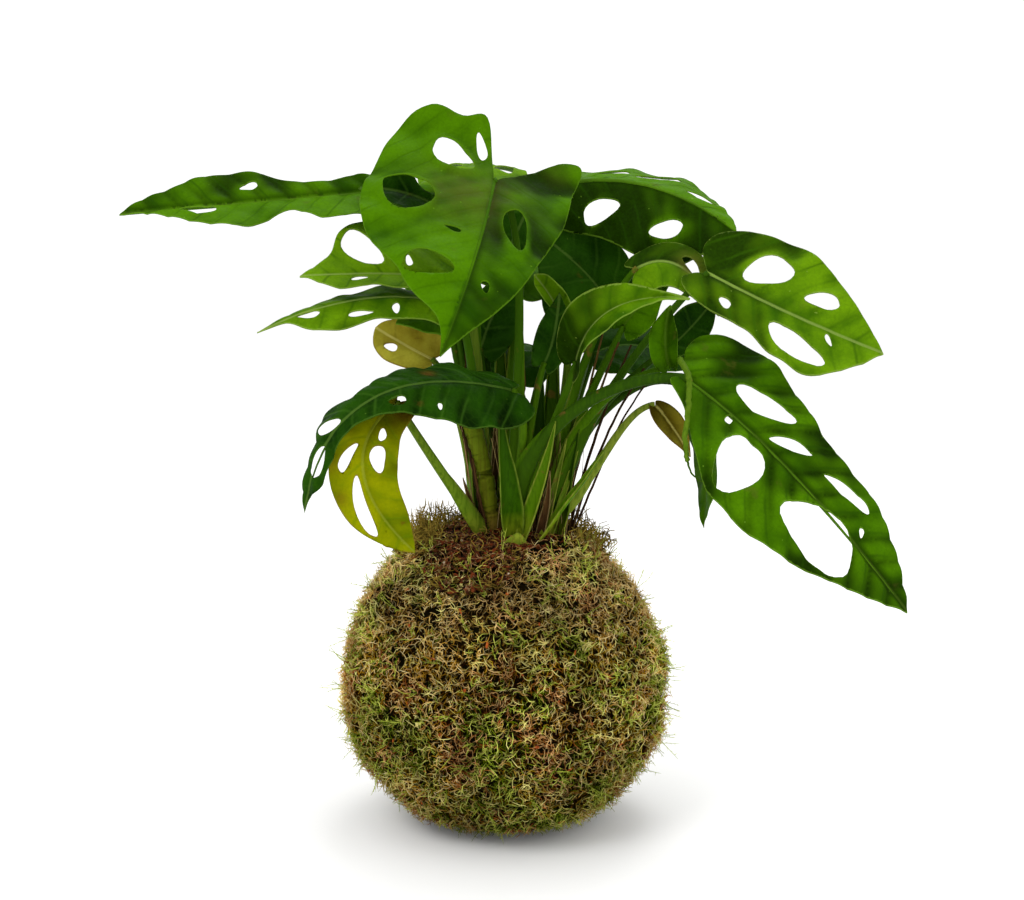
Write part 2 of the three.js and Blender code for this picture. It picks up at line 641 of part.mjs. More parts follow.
function bladeOf(leaf) {
  const blade = new Blade(leaf);
  const strip = blade.length / BLADE_STRIPS;
  let flat = foldAlong(flatBlade(blade), (point) => point.y);
  for (let i = 0; i < BLADE_STRIPS; i += 1) {
    flat = foldAlong(flat, (point) => point.x - i * strip);
  }
  const patchOf = (triangle) => {
    const middle = new THREE.Vector2();
    for (const corner of triangle) middle.addScaledVector(flat.points[corner], 1 / 3);
    return `${Math.max(-1, Math.floor(middle.x / strip))} ${Math.sign(middle.y)}`;
  };
  return thickened(blade, redrawn(flat, patchOf));
}

// Assembly

const kokedama = new THREE.Group();

let soil = soilBall();
for (const shoot of Object.values(shoots)) {
  soil = soil.subtract(stemOf(shoot, CLEARANCE));
}
kokedama.add(meshOf('moss_skin', mossSkin(), materials.moss));
kokedama.add(meshOf('soil_ball', soil, materials.soil));

for (const [key, shoot] of Object.entries(shoots)) {
  let plant = stemOf(shoot, 0);
  for (const leaf of leaves.filter((each) => each.shoot === key)) {
    plant = plant.add(stalkOf(leaf));
  }
  kokedama.add(meshOf(shoot.name, plant, materials.stalk));
}

for (const leaf of leaves) {
  const blade = largestPiece(bladeOf(leaf).subtract(stalkOf(leaf, STALK_CLEARANCE)));
  kokedama.add(meshOf(leaf.name, blade, materials[leaf.tone]));
}

export default kokedama;
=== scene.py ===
import bisect
import math
import random

import bmesh
import bpy
from mathutils import Matrix, Vector, noise


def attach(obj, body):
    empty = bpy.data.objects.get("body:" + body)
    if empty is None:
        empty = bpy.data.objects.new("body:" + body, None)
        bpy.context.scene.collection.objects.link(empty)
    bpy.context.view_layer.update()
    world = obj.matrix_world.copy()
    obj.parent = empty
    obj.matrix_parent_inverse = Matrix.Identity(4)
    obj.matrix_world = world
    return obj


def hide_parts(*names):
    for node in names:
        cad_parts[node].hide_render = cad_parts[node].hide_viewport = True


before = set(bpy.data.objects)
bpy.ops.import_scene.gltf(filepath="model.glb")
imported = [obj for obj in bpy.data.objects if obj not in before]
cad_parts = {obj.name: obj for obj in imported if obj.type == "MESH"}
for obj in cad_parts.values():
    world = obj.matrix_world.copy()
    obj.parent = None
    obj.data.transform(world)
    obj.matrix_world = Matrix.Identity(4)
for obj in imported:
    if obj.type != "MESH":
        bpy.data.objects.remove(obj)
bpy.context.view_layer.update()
mm = 0.001


# Material building

def colour(levels):
    # sRGB levels, 0 to 255, as the linear colour that nodes take
    shares = [level / 255 for level in levels]
    return (*(((share + 0.055) / 1.055) ** 2.4 if share > 0.04045 else share / 12.92 for share in shares), 1)


class Tree:
    # A material's nodes. Values are sockets or numbers, colours are sockets or sRGB levels.
    def __init__(self, name):
        self.material = bpy.data.materials.new(name)
        self.material.use_nodes = True
        self.nodes = self.material.node_tree.nodes
        self.shader = self.nodes["Principled BSDF"]

    def fill(self, socket, value):
        if isinstance(value, bpy.types.NodeSocket):
            self.material.node_tree.links.new(value, socket)
        else:
            socket.default_value = value

    def add(self, kind, sockets, **settings):
        node = self.nodes.new("ShaderNode" + kind)
        for setting, value in settings.items():
            setattr(node, setting, value)
        for key, value in sockets.items():
            self.fill(node.inputs[key], value)
        return node

    def calc(self, operation, *values):
        return self.add("Math", dict(enumerate(values)), operation=operation).outputs[0]

    def total(self, *parts):
        # The sum of parts, each times its weight
        result = 0.0
        for part, weight in parts:
            result = self.calc("MULTIPLY_ADD", part, weight, result)
        return result

    def place(self):
        return self.add("TexCoord", {}).outputs["Object"]

    def height(self):
        return self.add("SeparateXYZ", {0: self.place()}).outputs[2]

    def trait(self, name):
        return self.add("Attribute", {}, attribute_name=name).outputs["Fac"]

    def speckle(self, scale, detail=3, where=None, roughness=0.55):
        sockets = {"Vector": where or self.place(), "Scale": scale, "Detail": detail, "Roughness": roughness}
        return self.add("TexNoise", sockets).outputs["Fac"]

    def ease(self, value, low, high, start=0.0, end=1.0):
        sockets = {"Value": value, "From Min": low, "From Max": high, "To Min": start, "To Max": end}
        return self.add("MapRange", sockets, interpolation_type="SMOOTHSTEP").outputs[0]

    def mix(self, share, first, second):
        node = self.add("Mix", {0: share}, data_type="RGBA")
        for socket, shade in ((node.inputs[6], first), (node.inputs[7], second)):
            self.fill(socket, shade if isinstance(shade, bpy.types.NodeSocket) else colour(shade))
        return node.outputs[2]

    def ramp(self, share, *stops):
        node = self.add("ValToRGB", {"Fac": share})
        while len(node.color_ramp.elements) < len(stops):
            node.color_ramp.elements.new(0.5)
        for element, (where, levels) in zip(node.color_ramp.elements, stops):
            element.position = where
            element.color = colour(levels)
        return node.outputs["Color"]

    def layer(self, shade, tone, *layers):
        # Lays tones over a shade one by one, each by its own share
        for share, key in layers:
            shade = self.mix(share, shade, tone[key])
        return shade

    def finish(self, shade, roughness, specular, bump=()):
        settings = {"Base Color": shade, "Roughness": roughness, "Specular IOR Level": specular}
        if bump:
            sockets = dict(zip(("Height", "Strength", "Distance"), bump))
            settings["Normal"] = self.add("Bump", sockets).outputs["Normal"]
        for key, value in settings.items():
            self.fill(self.shader.inputs[key], value)
        return self.material


# Shared mesh steps

def newMesh(*traits):
    bm = bmesh.new()
    for trait in traits:
        bm.verts.layers.float.new(trait)
    return bm


def meshFrom(bm, name):
    mesh = bpy.data.meshes.new(name)
    bm.to_mesh(mesh)
    bm.free()
    return mesh


def addObject(name, data):
    item = bpy.data.objects.new(name, data)
    bpy.context.collection.objects.link(item)
    return item


def finishPiece(bm, name, material, replaced=(), smooth=True):
    mesh = meshFrom(bm, name)
    mesh.polygons.foreach_set("use_smooth", [smooth] * len(mesh.polygons))
    mesh.materials.append(material)
    piece = addObject(name, mesh)
    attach(piece, "root")
    if replaced:
        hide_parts(*replaced)


def extend(bm, edges, before, station):
    # Extrudes an edge row and moves it from one station to the next
    grown = bmesh.ops.extrude_edge_only(bm, edges=edges)["geom"]
    verts = [part for part in grown if isinstance(part, bmesh.types.BMVert)]
    faces = [part for part in grown if isinstance(part, bmesh.types.BMFace)]
    edges = [e for e in grown if isinstance(e, bmesh.types.BMEdge) and all(v in verts for v in e.verts)]
    bmesh.ops.transform(bm, matrix=station @ before.inverted(), verts=verts)
    return edges, faces


def sweepBar(bm, stations, sides, groove=0.0, **traits):
    # A closed bar: one ring drawn at the first station, then extruded from station to station.
    # A station is a matrix: its X and Y columns are the ring's half width and half depth.
    # groove sinks the ring's Y side, as in a leaf stalk, and traits are values for every corner.
    ring = bmesh.ops.create_circle(bm, cap_ends=True, segments=sides, radius=1)["verts"]
    for vert in ring:
        if vert.co.y > 0:
            vert.co.y *= 1 - groove * math.exp(-(vert.co.x / 0.5) ** 2)
    bmesh.ops.transform(bm, matrix=stations[0], verts=ring)
    edges = list({edge for vert in ring for edge in vert.link_edges})
    made = {face for vert in ring for face in vert.link_faces}
    for before, station in zip(stations, stations[1:]):
        edges, faces = extend(bm, edges, before, station)
        made.update(faces)
    made.update(bmesh.ops.edgeloop_fill(bm, edges=edges)["faces"])
    bmesh.ops.recalc_face_normals(bm, faces=list(made))
    for trait, value in traits.items():
        layer = bm.verts.layers.float[trait]
        for vert in {vert for face in made for vert in face.verts}:
            vert[layer] = value
    return made


def stationsAlong(points, widths, depths=None, upward=Vector((0.02, 0.03, 1))):
    # Matrices along a path in mm; upward, one way or one for each point, is where the rings' Y looks
    points = [point * mm for point in points]
    widths = [width * mm for width in widths]
    depths = [depth * mm for depth in depths] if depths else widths
    stations = []
    for i, point in enumerate(points):
        along = (points[min(i + 1, len(points) - 1)] - points[max(i - 1, 0)]).normalized()
        side = (upward[i] if isinstance(upward, list) else upward).cross(along)
        if side.length < 1e-6:
            side = along.orthogonal()
        side.normalize()
        axes = Matrix((side * widths[i], along.cross(side) * depths[i], along * widths[i]))
        station = axes.transposed().to_4x4()
        station.translation = point
        stations.append(station)
    return stations


def columnsAlong(steps, rowAt):
    # What rowAt says at even shares of a path, from 0 to 1, as one list for each of its values
    return [list(column) for column in zip(*(rowAt(i / steps) for i in range(steps + 1)))]


def splineThrough(points, perSpan):
    # Even Catmull-Rom through points, its ends doubled
    result = []
    last = len(points) - 1
    for i in range(last):
        four = [points[max(i - 1, 0)], points[i], points[i + 1], points[min(i + 2, last)]]
        for step in range(perSpan):
            t = step / perSpan
            result.append(tuple(
                0.5 * (2 * b + (c - a) * t + (2 * a - 5 * b + 4 * c - d) * t * t
                       + (3 * b - a - 3 * c + d) * t ** 3)
                for a, b, c, d in zip(*four)
            ))
    return result + [tuple(points[-1])]


# Camera, light and floor

view = {
    "cameraPlace": (0.0029, -0.7757, 0.2782),
    "lookDown": 9,            # degrees below level
    "lens": 67.45,
    "lampTarget": (0, 0, 0.15),
    "worldLight": 1.12,
    "floorColour": (0.91, 0.91, 0.905, 1),
    "floorSize": 6,
}
lamps = {
    # name: (place, size, watts)
    "keyLight": ((-0.55, -0.75, 0.95), 0.5, 5),
    "fillLight": ((0.9, -0.6, 0.5), 0.9, 2),
    "topLight": ((0.15, 0.4, 1.0), 0.5, 3),
}


def setStage():
    scene = bpy.context.scene
    camera = addObject("camera", bpy.data.cameras.new("camera"))
    camera.location = view["cameraPlace"]
    camera.rotation_euler = (math.radians(90 - view["lookDown"]), 0, 0)
    camera.data.lens = view["lens"]
    camera.data.sensor_width = 36
    camera.data.clip_start = 0.01
    scene.camera = camera
    scene.view_settings.view_transform = "Standard"

    for name, (place, size, watts) in lamps.items():
        lamp = addObject(name, bpy.data.lights.new(name, "AREA"))
        lamp.data.size = size
        lamp.data.energy = watts
        lamp.location = place
        aim = Vector(view["lampTarget"]) - Vector(place)
        lamp.rotation_euler = aim.to_track_quat("-Z", "Y").to_euler()

    world = bpy.data.worlds.new("paleStudio")
    world.use_nodes = True
    sockets = world.node_tree.nodes["Background"].inputs
    sockets["Color"].default_value = (1, 1, 1, 1)
    sockets["Strength"].default_value = view["worldLight"]
    scene.world = world

    bm = bmesh.new()
    bmesh.ops.create_grid(bm, x_segments=1, y_segments=1, size=view["floorSize"])
    floor = addObject("floor", meshFrom(bm, "floor"))
    floor.data.materials.append(Tree("floorPaint").finish(view["floorColour"], 0.8, 0.5))


setStage()
print("stage set")


# Leaf and stalk finishes

veins = {"gap": 11, "sweep": 0.62, "curl": 0.006}   # mm along the midrib, lean to the tip, bend

leafToneKeys = ("deep", "fresh", "vein", "rib", "rim", "spot", "veins", "spots", "roughness", "glow", "ribs")
leafTones = {
    # deep and fresh mix over the blade; veins, spots and ribs say how strongly they show
    "leafBroad": ((36, 74, 0), (76, 124, 0), (34, 68, 0), (60, 92, 12), (92, 134, 24), (76, 74, 26), 0.25,
        0.2, 0.5, 0.22, 0.35),
    "leafGreen": ((40, 78, 0), (80, 128, 2), (34, 68, 2), (92, 122, 36), (108, 148, 40), (84, 80, 30), 0.5,
        0.3, 0.46, 0.2, 0.3),
    "leafDark": ((12, 40, 2), (38, 78, 6), (60, 98, 24), (92, 124, 48), (72, 104, 30), (104, 70, 26), 0.4,
        0.22, 0.34, 0.12, 0.45),
    "leafYoung": ((54, 96, 4), (112, 156, 10), (52, 90, 6), (148, 172, 84), (140, 168, 66), (92, 90, 34),
        0.6, 0.15, 0.44, 0.28, 0.6),
    "leafYellow": ((84, 108, 0), (152, 156, 2), (96, 124, 8), (150, 160, 48), (140, 118, 36), (104, 66, 16),
        0.4, 0.75, 0.46, 0.26, 0.5),
    "leafWithered": ((110, 92, 6), (184, 176, 58), (104, 96, 24), (196, 186, 100), (108, 76, 30),
        (96, 62, 22), 0.3, 0.9, 0.55, 0.2, 0.7),
}


def leafFinish(name, row):
    tone = dict(zip(leafToneKeys, row))
    # painted shade: the deep tone darker still, for parts of a blade in shadow and for its own darker parts
    tone["dimAndPaintedShade"] = [0.55 * level for level in tone["deep"]]
    tree = Tree(name)
    mapped = tree.add("UVMap", {}, uv_map="bladeMap").outputs[0]
    along, across = tree.add("SeparateXYZ", {0: mapped}).outputs[:2]      # decimetres
    reach = tree.calc("ABSOLUTE", across)
    lag = tree.total((along, 1), (reach, -veins["sweep"]), (tree.speckle(45, 2), 0.05),
                     (tree.calc("POWER", reach, 2), -100 * veins["curl"]))
    off = tree.calc("PINGPONG", tree.calc("DIVIDE", lag, veins["gap"] / 100), 0.5)
    faint = tree.ease(tree.speckle(55, 2), 0.35, 0.6, 0.2, 1.0)    # side veins come and go
    vein = tree.calc("MULTIPLY", tree.ease(off, 0.0, 0.11, 1.0, 0.0), faint)
    sockets = {"Vector": tree.place(), "Scale": 330}
    cells = tree.add("TexVoronoi", sockets, feature="DISTANCE_TO_EDGE").outputs["Distance"]
    net = tree.ease(cells, 0.0, 0.14, 1.0, 0.0)
    grain = tree.speckle(800, 2)
    # The shade trait carries painted shade and light on halves, ends and valleys of the blade, partly its
    # own tone
    part = tree.trait("shade")
    stain = tree.calc("MULTIPLY", tree.trait("stain"), tree.ease(tree.speckle(160, 3), 0.3, 0.6, 0.6, 1.0))

    shade = tree.ramp(tree.speckle(48, 4), (0.34, tone["deep"]), (0.66, tone["fresh"]))
    shade = tree.layer(
        shade, tone,
        (tree.ease(off, 0.08, 0.5, 0.0, 0.3), "fresh"),                  # between side veins
        (tree.ease(part, 0.0, 0.5, 1.0, 0.0), "dimAndPaintedShade"),                    # painted shade and light, and the blade's own darker and fresher parts
        (tree.ease(part, 0.5, 1.0, 0.0, 0.8), "fresh"),
        (tree.ease(grain, 0.35, 0.7, 0.0, 0.16), "deep"),
        (tree.calc("MULTIPLY", net, 0.2 * tone["veins"]), "vein"),       # the finest veins
        (tree.calc("MULTIPLY", vein, tone["veins"]), "vein"),            # side veins
        (tree.ease(reach, 0.002, 0.009, tone["ribs"], 0.0), "rib"),      # midrib
        (tree.ease(tree.trait("rim"), 0.5, 1.0, 0.0, 0.55), "rim"),      # margin and hole edges
        (tree.ease(tree.speckle(75, 5, roughness=0.6), 0.64, 0.72, 0.0, tone["spots"]), "spot"),
        (stain, "spot"),
        (tree.ease(tree.speckle(520, 1), 0.77, 0.8, 0.0, 0.7), "rim"),   # painted glints: pale specks
    )
    dull = tree.ease(tree.speckle(120, 3), 0.3, 0.7, tone["roughness"] - 0.06, tone["roughness"] + 0.12)
    height = tree.total((vein, -0.5), (net, -0.12), (grain, 0.4), (tree.speckle(160, 3), 0.8))
    tree.finish(shade, dull, 0.012, (height, 0.4, 0.0006))
    through = tree.add("BsdfTranslucent", {"Color": tree.mix(0.3, shade, tone["fresh"])}).outputs[0]
    both = tree.add("MixShader", {0: tone["glow"], 1: tree.shader.outputs[0], 2: through}).outputs[0]
    tree.fill(tree.nodes["Material Output"].inputs["Surface"], both)
    return tree.material


stalkToneKeys = ("foot", "low", "high", "streak", "dark", "pale", "scar", "scars", "roughness")
stalkTones = {
    # foot, low and high follow the height; dark and pale go by each stalk's own age
    "stalk": ((126, 140, 28), (82, 120, 6), (54, 90, 4), (50, 82, 4), (26, 50, 6), (134, 144, 52),
        (116, 84, 40), 0.55, 0.5),
    "stalkDark": ((116, 132, 22), (46, 82, 2), (34, 66, 2), (28, 54, 2), (16, 32, 4), (110, 130, 40),
        (84, 60, 30), 0.4, 0.5),
    "stalkOld": ((122, 84, 36), (106, 120, 12), (70, 104, 4), (78, 74, 14), (60, 44, 20), (160, 150, 70),
        (70, 40, 18), 0.6, 0.6),
    "stalkBrown": ((70, 44, 26), (96, 68, 36), (96, 74, 34), (48, 30, 18), (34, 20, 12), (196, 172, 112),
        (142, 116, 60), 0.7, 0.7),
}


def stalkFinish(name, row):
    tone = dict(zip(stalkToneKeys, row))
    tree = Tree(name)
    rise = tree.ease(tree.height(), 0.118, 0.20)
    age = tree.trait("age")
    stretched = tree.add("Mapping", {"Vector": tree.place(), "Scale": (1, 1, 0.04)}).outputs[0]
    streak = tree.speckle(800, 2, where=stretched)
    shade = tree.layer(
        tree.ramp(rise, (0.0, tone["foot"]), (0.1, tone["low"]), (1.0, tone["high"])), tone,
        (tree.ease(age, 0.0, 0.5, 0.9, 0.0), "dark"),
        (tree.ease(age, 0.5, 1.0, 0.0, 0.8), "pale"),
        (tree.ease(streak, 0.4, 0.68, 0.0, 0.5), "streak"),
        (tree.ease(tree.speckle(130, 4), 0.64, 0.72, 0.0, tone["scars"]), "scar"),
    )
    return tree.finish(shade, tone["roughness"], 0.02, (streak, 0.4, 0.0003))


finishes = {name: leafFinish(name, row) for name, row in leafTones.items()}
finishes.update({name: stalkFinish(name, row) for name, row in stalkTones.items()})
print("leaf and stalk finishes made")


# Leaves

def leaf(finish, shoot, base, middle, tip, face, stalk, left, right=(), **more):
    # A leaf's plan, as in the part's source, in millimetres and degrees. The midrib runs base, middle,
    # tip; face is the way the upper side looks; stalk holds the stalk's two bends; left and right are
    # the margins of the flat blade, as (along, across), and mirror each other if right isn't given.
    # What more can say, and what it is otherwise:
    plan = {
        "tone": finish,                # the finish's stand-in for one leaf
        "fold": (0, 0),                # tilt at the midrib, left and right
        "bow": (0, 0),                 # bend from there to the margin
        "holes": (),                   # (along, across, length, breadth, lean)
        "rise": 0,                     # how fast what lies behind the base climbs
        "sides": (0, 0),               # left and right darker or fresher, -1 to 1: painted shade and light where a half lies in shadow or in light, partly also the leaf's own tone
        "ends": (0, 0),                # the same for base and tip
        "stains": (),                  # brown places (along, across, size, strength)
        "quilt": 1, "swell": 1,        # how far it stands up between veins, and from place to place
        "lip": 1,                      # and round its holes
        "stalkSize": 1, "flare": 0.9,  # the stalk's width, and how much wider it is at its foot
    }
    # age is the stalk's shade, 0 dark and 1 pale; root is where it starts if it isn't at the stem
    right = right or [(along, -across) for along, across in left]
    return {**plan, "finish": finish, "shoot": shoot, "base": base, "middle": middle, "tip": tip,
            "face": face, "stalk": stalk, "left": left, "right": right, **more}


leafPlans = {
    # its left half darkened with painted shade
    "leaf_01_front_crest": leaf("leafGreen", "b", (-4, -15, 265), (-11, -58, 237), (-23, -90, 204),
        (0.05, -0.5, 0.86), ((3, -14, 175), (13, 4, 250)), tone="leafBroad", fold=(-6, 10), bow=(-12, -10),
        rise=0.011, sides=(-1, 0.2), ends=(0.3, 0.6), age=0.3, lip=2, quilt=0.6, swell=1.3,
        stains=[(14, -10, 19, 0.55), (-13, 24, 7, 0.2)],
        left=[(-10, 14), (-18, 26), (-18, 34), (0, 31), (20, 30), (40, 25), (60, 20), (74, 14), (88, 6)],
        right=[(-12, -2), (-30, -6), (-29, -16), (-31, -29), (-21, -40), (2, -47), (28, -49), (46, -44),
        (58, -36), (66, -27), (76, -18), (86, -5)], holes=[(-9, -18, 20, 13, 50), (-17, -7, 13, 4, 16),
        (22, -32, 24, 20, 20), (31, 12, 24, 9, 14), (62, -16, 19, 13, -82), (65, 7, 6, 3, 20),
        (38, -11, 7, 3, 80)]),
    # its far half painted light, its near half in painted shade
    "leaf_02_top_right": leaf("leafDark", "e", (21, 25, 263), (58, 14, 263), (93, -4, 245),
        (0.1, -0.3, 0.95), ((22, 20, 180), (20, 26, 245)), tone="leafGreen", sides=(0.9, -0.75),
        fold=(-9, -50), bow=(-6, -20),
        left=[(-12, 10), (-10, 24), (8, 33), (24, 35), (42, 32), (60, 20), (74, 8)], right=[(-7, -10),
        (0, -20), (22, -25), (46, -29), (66, -28), (78, -14)], holes=[(20, -14, 19, 10, 22),
        (56, -15, 16, 8, 28), (38, 15, 18, 9, 20), (60, 9, 14, 6, 16), (20, 16, 14, 9, 24)]),
    # its base in painted shade, its tip painted light
    "leaf_03_right_upper": leaf("leafYoung", "c", (80, -18, 229), (111, -31, 214), (145, -45, 200),
        (0.25, -0.86, 0.45), ((28, -10, 172), (66, -20, 216)), fold=(10, 4), ends=(-0.9, 0.7), quilt=1.6,
        left=[(-7, 8), (-5, 17), (3, 23), (16, 26), (30, 27), (43, 23), (58, 14), (69, 6)], right=[(-7, -8),
        (0, -14), (14, -15), (27, -16), (40, -21), (53, -23), (62, -18), (71, -8)],
        holes=[(21, 12, 20, 13, 32), (46, 10, 14, 7, 12), (45, -13, 27, 10, -16), (55, -4, 6, 2, -46),
        (13, -9, 6, 4, -30)]),
    "leaf_04_right_lower": leaf("leafGreen", "b", (70, -45, 190), (108, -62, 157), (152, -72, 105),
        (0.35, -0.75, 0.55), ((2, -26, 165), (40, -38, 194)), fold=(6, 2), bow=(-10, -10), stalkSize=1.5,
        ends=(-0.5, -0.75), flare=0.3, age=0.14, quilt=2.4, swell=1.3,
        left=[(-9, 10), (-9, 22), (5, 32), (22, 31), (40, 26), (60, 22), (82, 19), (102, 12)],
        right=[(-4, -6), (8, -12), (22, -24), (38, -33), (57, -34), (77, -28), (96, -18), (112, -8)],
        holes=[(28, 13, 26, 10, 13), (46, 8, 18, 5, 30), (38, -16, 26, 19, -74), (78, -11, 35, 23, 6),
        (74, 12, 22, 5, 6), (23, -3, 5, 3, -78), (88, 5, 4, 2, -39)]),
    "leaf_05_far_left": leaf("leafGreen", "a", (-54, 10, 260), (-103, -4, 256), (-152, -14, 252),
        (0, -0.5, 0.87), ((-14, 6, 185), (-30, 14, 258)), fold=(8, 22), bow=(-4, -8), sides=(0.2, -0.5),
        quilt=2,
        left=[(-6, 8), (4, 18), (22, 20), (34, 13), (46, 17), (57, 21), (70, 15), (82, 9), (92, 3)],
        right=[(-5, -5), (4, -9), (20, -7), (32, -9), (44, -15), (58, -16), (70, -14), (80, -10), (91, -6)],
        holes=[(70, 5, 14, 7, -8), (49, -8, 8, 4, 20)]),
    "leaf_06_left_upper": leaf("leafYoung", "a", (-20, -8, 227), (-51, -22, 229), (-79, -34, 229),
        (0, -0.6, 0.8), ((-10, 0, 170), (-10, -2, 220)), fold=(15, 5), ends=(0.3, 0.9),
        left=[(-5, 6), (4, 12), (20, 14), (36, 11), (50, 12), (59, 6)], right=[(-6, -10), (2, -22),
        (16, -32), (32, -30), (43, -23), (49, -12), (57, -5)], holes=[(36, -14, 21, 14, -68),
        (42, 5, 8, 3, 15), (18, -7, 7, 3, 79)]),
    "leaf_07_left_middle": leaf("leafGreen", "a", (-21, -15, 216), (-55, -32, 220), (-95, -42, 208),
        (0, -0.65, 0.76), ((-11, -6, 165), (-12, -10, 208)), tone="leafYoung", fold=(0, -28),
        ends=(-0.1, 0.2),
        left=[(-5, 6), (2, 12), (16, 13), (34, 12), (52, 13), (63, 9), (70, 2)], right=[(-5, -6), (2, -12),
        (20, -13), (38, -11), (54, -7), (68, -3)], holes=[(61, 2, 9, 4, -11), (42, 8, 10, 3, -8),
        (27, 7, 6, 3, 71)]),
    "leaf_08_yellow_brown": leaf("leafWithered", "a", (-30, 8, 192), (-41, 14, 197), (-54, 20, 204),
        (-0.1, -0.8, 0.6), ((-14, 6, 150), (-20, 8, 182)),
        left=[(-2, 4), (6, 8), (16, 10), (25, 7)], right=[(-3, -6), (4, -14), (16, -14), (26, -7)],
        holes=[(18, 4, 6, 4, 10)]),
    "leaf_09_dark_arched": leaf("leafDark", "b", (3, -30, 184), (-50, -66, 185), (-76, -62, 141),
        (-0.25, -0.7, 0.66), ((4, -20, 146), (12, -25, 172)), fold=(-6, -12), bow=(-15, -15),
        sides=(-0.3, 0.2), quilt=2.2, stains=[(37, -7, 2.6, 0.65)],
        left=[(-8, 8), (0, 16), (13, 20), (30, 21), (45, 17), (60, 10), (79, 5), (94, 6), (104, 6),
        (111, 2)], right=[(-7, -6), (0, -13), (15, -17), (38, -15), (57, -11), (70, -7), (82, -13), (92, -6),
        (104, -4), (111, -3)], holes=[(84, -4, 11, 6, -34), (97, 1, 13, 6, 6), (57, 6, 7, 4, -12),
        (41, 12, 4, 2, 66)]),
    "leaf_10_yellow_green": leaf("leafYellow", "a", (-41, -50, 182), (-53, -66, 158), (-34, -58, 125),
        (-0.15, -0.95, 0.3), ((-20, -18, 142), (-36, -42, 170)), fold=(6, 6), sides=(-0.15, 0.6),
        ends=(-0.1, 0.1), age=0.7, flare=0, root=(-7.4, -8, 119.5), stains=[(1, 6, 10, 0.8),
        (40, -11, 3, 0.5), (30, -12, 3, 0.5), (20, -9, 3, 0.4)],
        left=[(-6, 6), (0, 9), (12, 11), (26, 14), (42, 12), (56, 9), (67, 4)], right=[(-5, -5), (4, -7),
        (18, -10), (32, -13), (46, -12), (57, -8), (66, -4)], holes=[(28, -6, 11, 4, -31), (28, 6, 13, 6, 4),
        (46, -5, 23, 5, -10), (17, 5, 7, 3, 20)]),
    "leaf_11_young_folded": leaf("leafYoung", "b", (28, -28, 195), (41, -46, 217), (71, -44, 221),
        (-0.2, -0.75, 0.62), ((12, -18, 150), (24, -24, 180)), fold=(40, 30), sides=(0, 0.2), ends=(-1, 0.6),
        age=0.35,
        left=[(-3, 5), (6, 10), (22, 12), (38, 8), (50, 3)], right=[(-4, -7), (6, -14), (22, -14), (38, -9),
        (50, -4)]),
    "leaf_12_right_inner": leaf("leafYoung", "c", (53, -4, 230), (70, -9, 231), (85, -16, 212),
        (0.1, -0.8, 0.6), ((22, 2, 176), (40, 2, 216)), sides=(-0.8, 0.3), stains=[(22, 3, 5, 0.9)],
        left=[(-4, 4), (4, 7), (18, 10), (29, 7)], right=[(-4, -6), (4, -13), (16, -12), (28, -8)],
        holes=[(22, 3, 10, 4, -20)]),
    "leaf_13_centre_dark": leaf("leafDark", "e", (41, 22, 217), (30, 20, 230), (12, 20, 244),
        (-0.1, -0.85, 0.5), ((24, 12, 170), (40, 18, 205)), sides=(0.5, 0.2),
        left=[(-9, 8), (-4, 22), (12, 25), (28, 14)], right=[(-7, -8), (0, -16), (14, -18), (28, -12)]),
    "leaf_14_young_upright": leaf("leafYoung", "c", (64, -36, 194), (62, -40, 206), (64, -38, 218),
        (-0.2, -0.95, 0.2), ((24, -6, 176), (52, -24, 190)), tone="leafGreen", sides=(-0.2, -0.5),
        fold=(35, 35),
        left=[(-1, 3), (6, 7), (14, 7), (21, 3)], right=[(-1, -3), (6, -6), (14, -6), (21, -3)]),
    "leaf_15_right_hanging": leaf("leafGreen", "e", (77, 4, 176), (81, -4, 154), (81, -6, 124),
        (-0.95, -0.3, 0.1), ((30, 12, 170), (64, 14, 196)),
        left=[(-4, 5), (6, 12), (22, 13), (40, 9)], right=[(-4, -5), (6, -11), (22, -12), (42, -7)]),
    "leaf_16_small_withered": leaf("leafWithered", "c", (60, -15, 176), (66, -18, 169), (75, -14, 155),
        (0.3, -0.9, 0.3), ((36, -8, 140), (46, -14, 176)), fold=(20, 20), ends=(-0.6, -0.4), age=0.85,
        flare=0.15,
        left=[(-1, 2), (6, 5), (14, 5)], right=[(-1, -2), (6, -6), (14, -5)]),
    "leaf_17_right_behind": leaf("leafDark", "e", (38, 25, 193), (59, 30, 195), (84, 26, 184),
        (0.1, -0.5, 0.85), ((24, 18, 150), (32, 24, 182)),
        left=[(-6, 6), (4, 14), (22, 15), (38, 8)], right=[(-6, -8), (4, -19), (22, -20), (38, -9)]),
    "leaf_18_back_top": leaf("leafYoung", "d", (-4, 26, 260), (-14, 64, 271), (-28, 108, 262),
        (-0.1, 0, 0.99), ((-2, 22, 185), (-2, 20, 248)), fold=(-10, -10), bow=(-10, -10),
        left=[(-9, 10), (-2, 24), (20, 28), (48, 24), (70, 12)], right=[(-9, -8), (-2, -13), (20, -20),
        (48, -19), (70, -9)], holes=[(18, 12, 16, 9, 30), (42, 11, 18, 8, 20), (26, -10, 15, 8, -26),
        (50, -9, 15, 6, -18)]),
    "leaf_19_back_left": leaf("leafGreen", "d", (-12, 38, 222), (-26, 72, 232), (-46, 116, 214),
        (-0.25, 0.1, 0.96), ((-6, 20, 170), (-10, 30, 210)), fold=(-12, -12), bow=(-8, -8),
        left=[(-9, 10), (-2, 22), (18, 28), (44, 24), (66, 12)], right=[(-9, -10), (-2, -20), (18, -24),
        (44, -21), (66, -10)], holes=[(18, 13, 16, 9, 30), (42, 11, 19, 8, 20), (24, -11, 16, 8, -26),
        (50, -8, 18, 6, -16)]),
    "leaf_20_back_right": leaf("leafGreen", "e", (24, 44, 218), (40, 78, 228), (56, 118, 208),
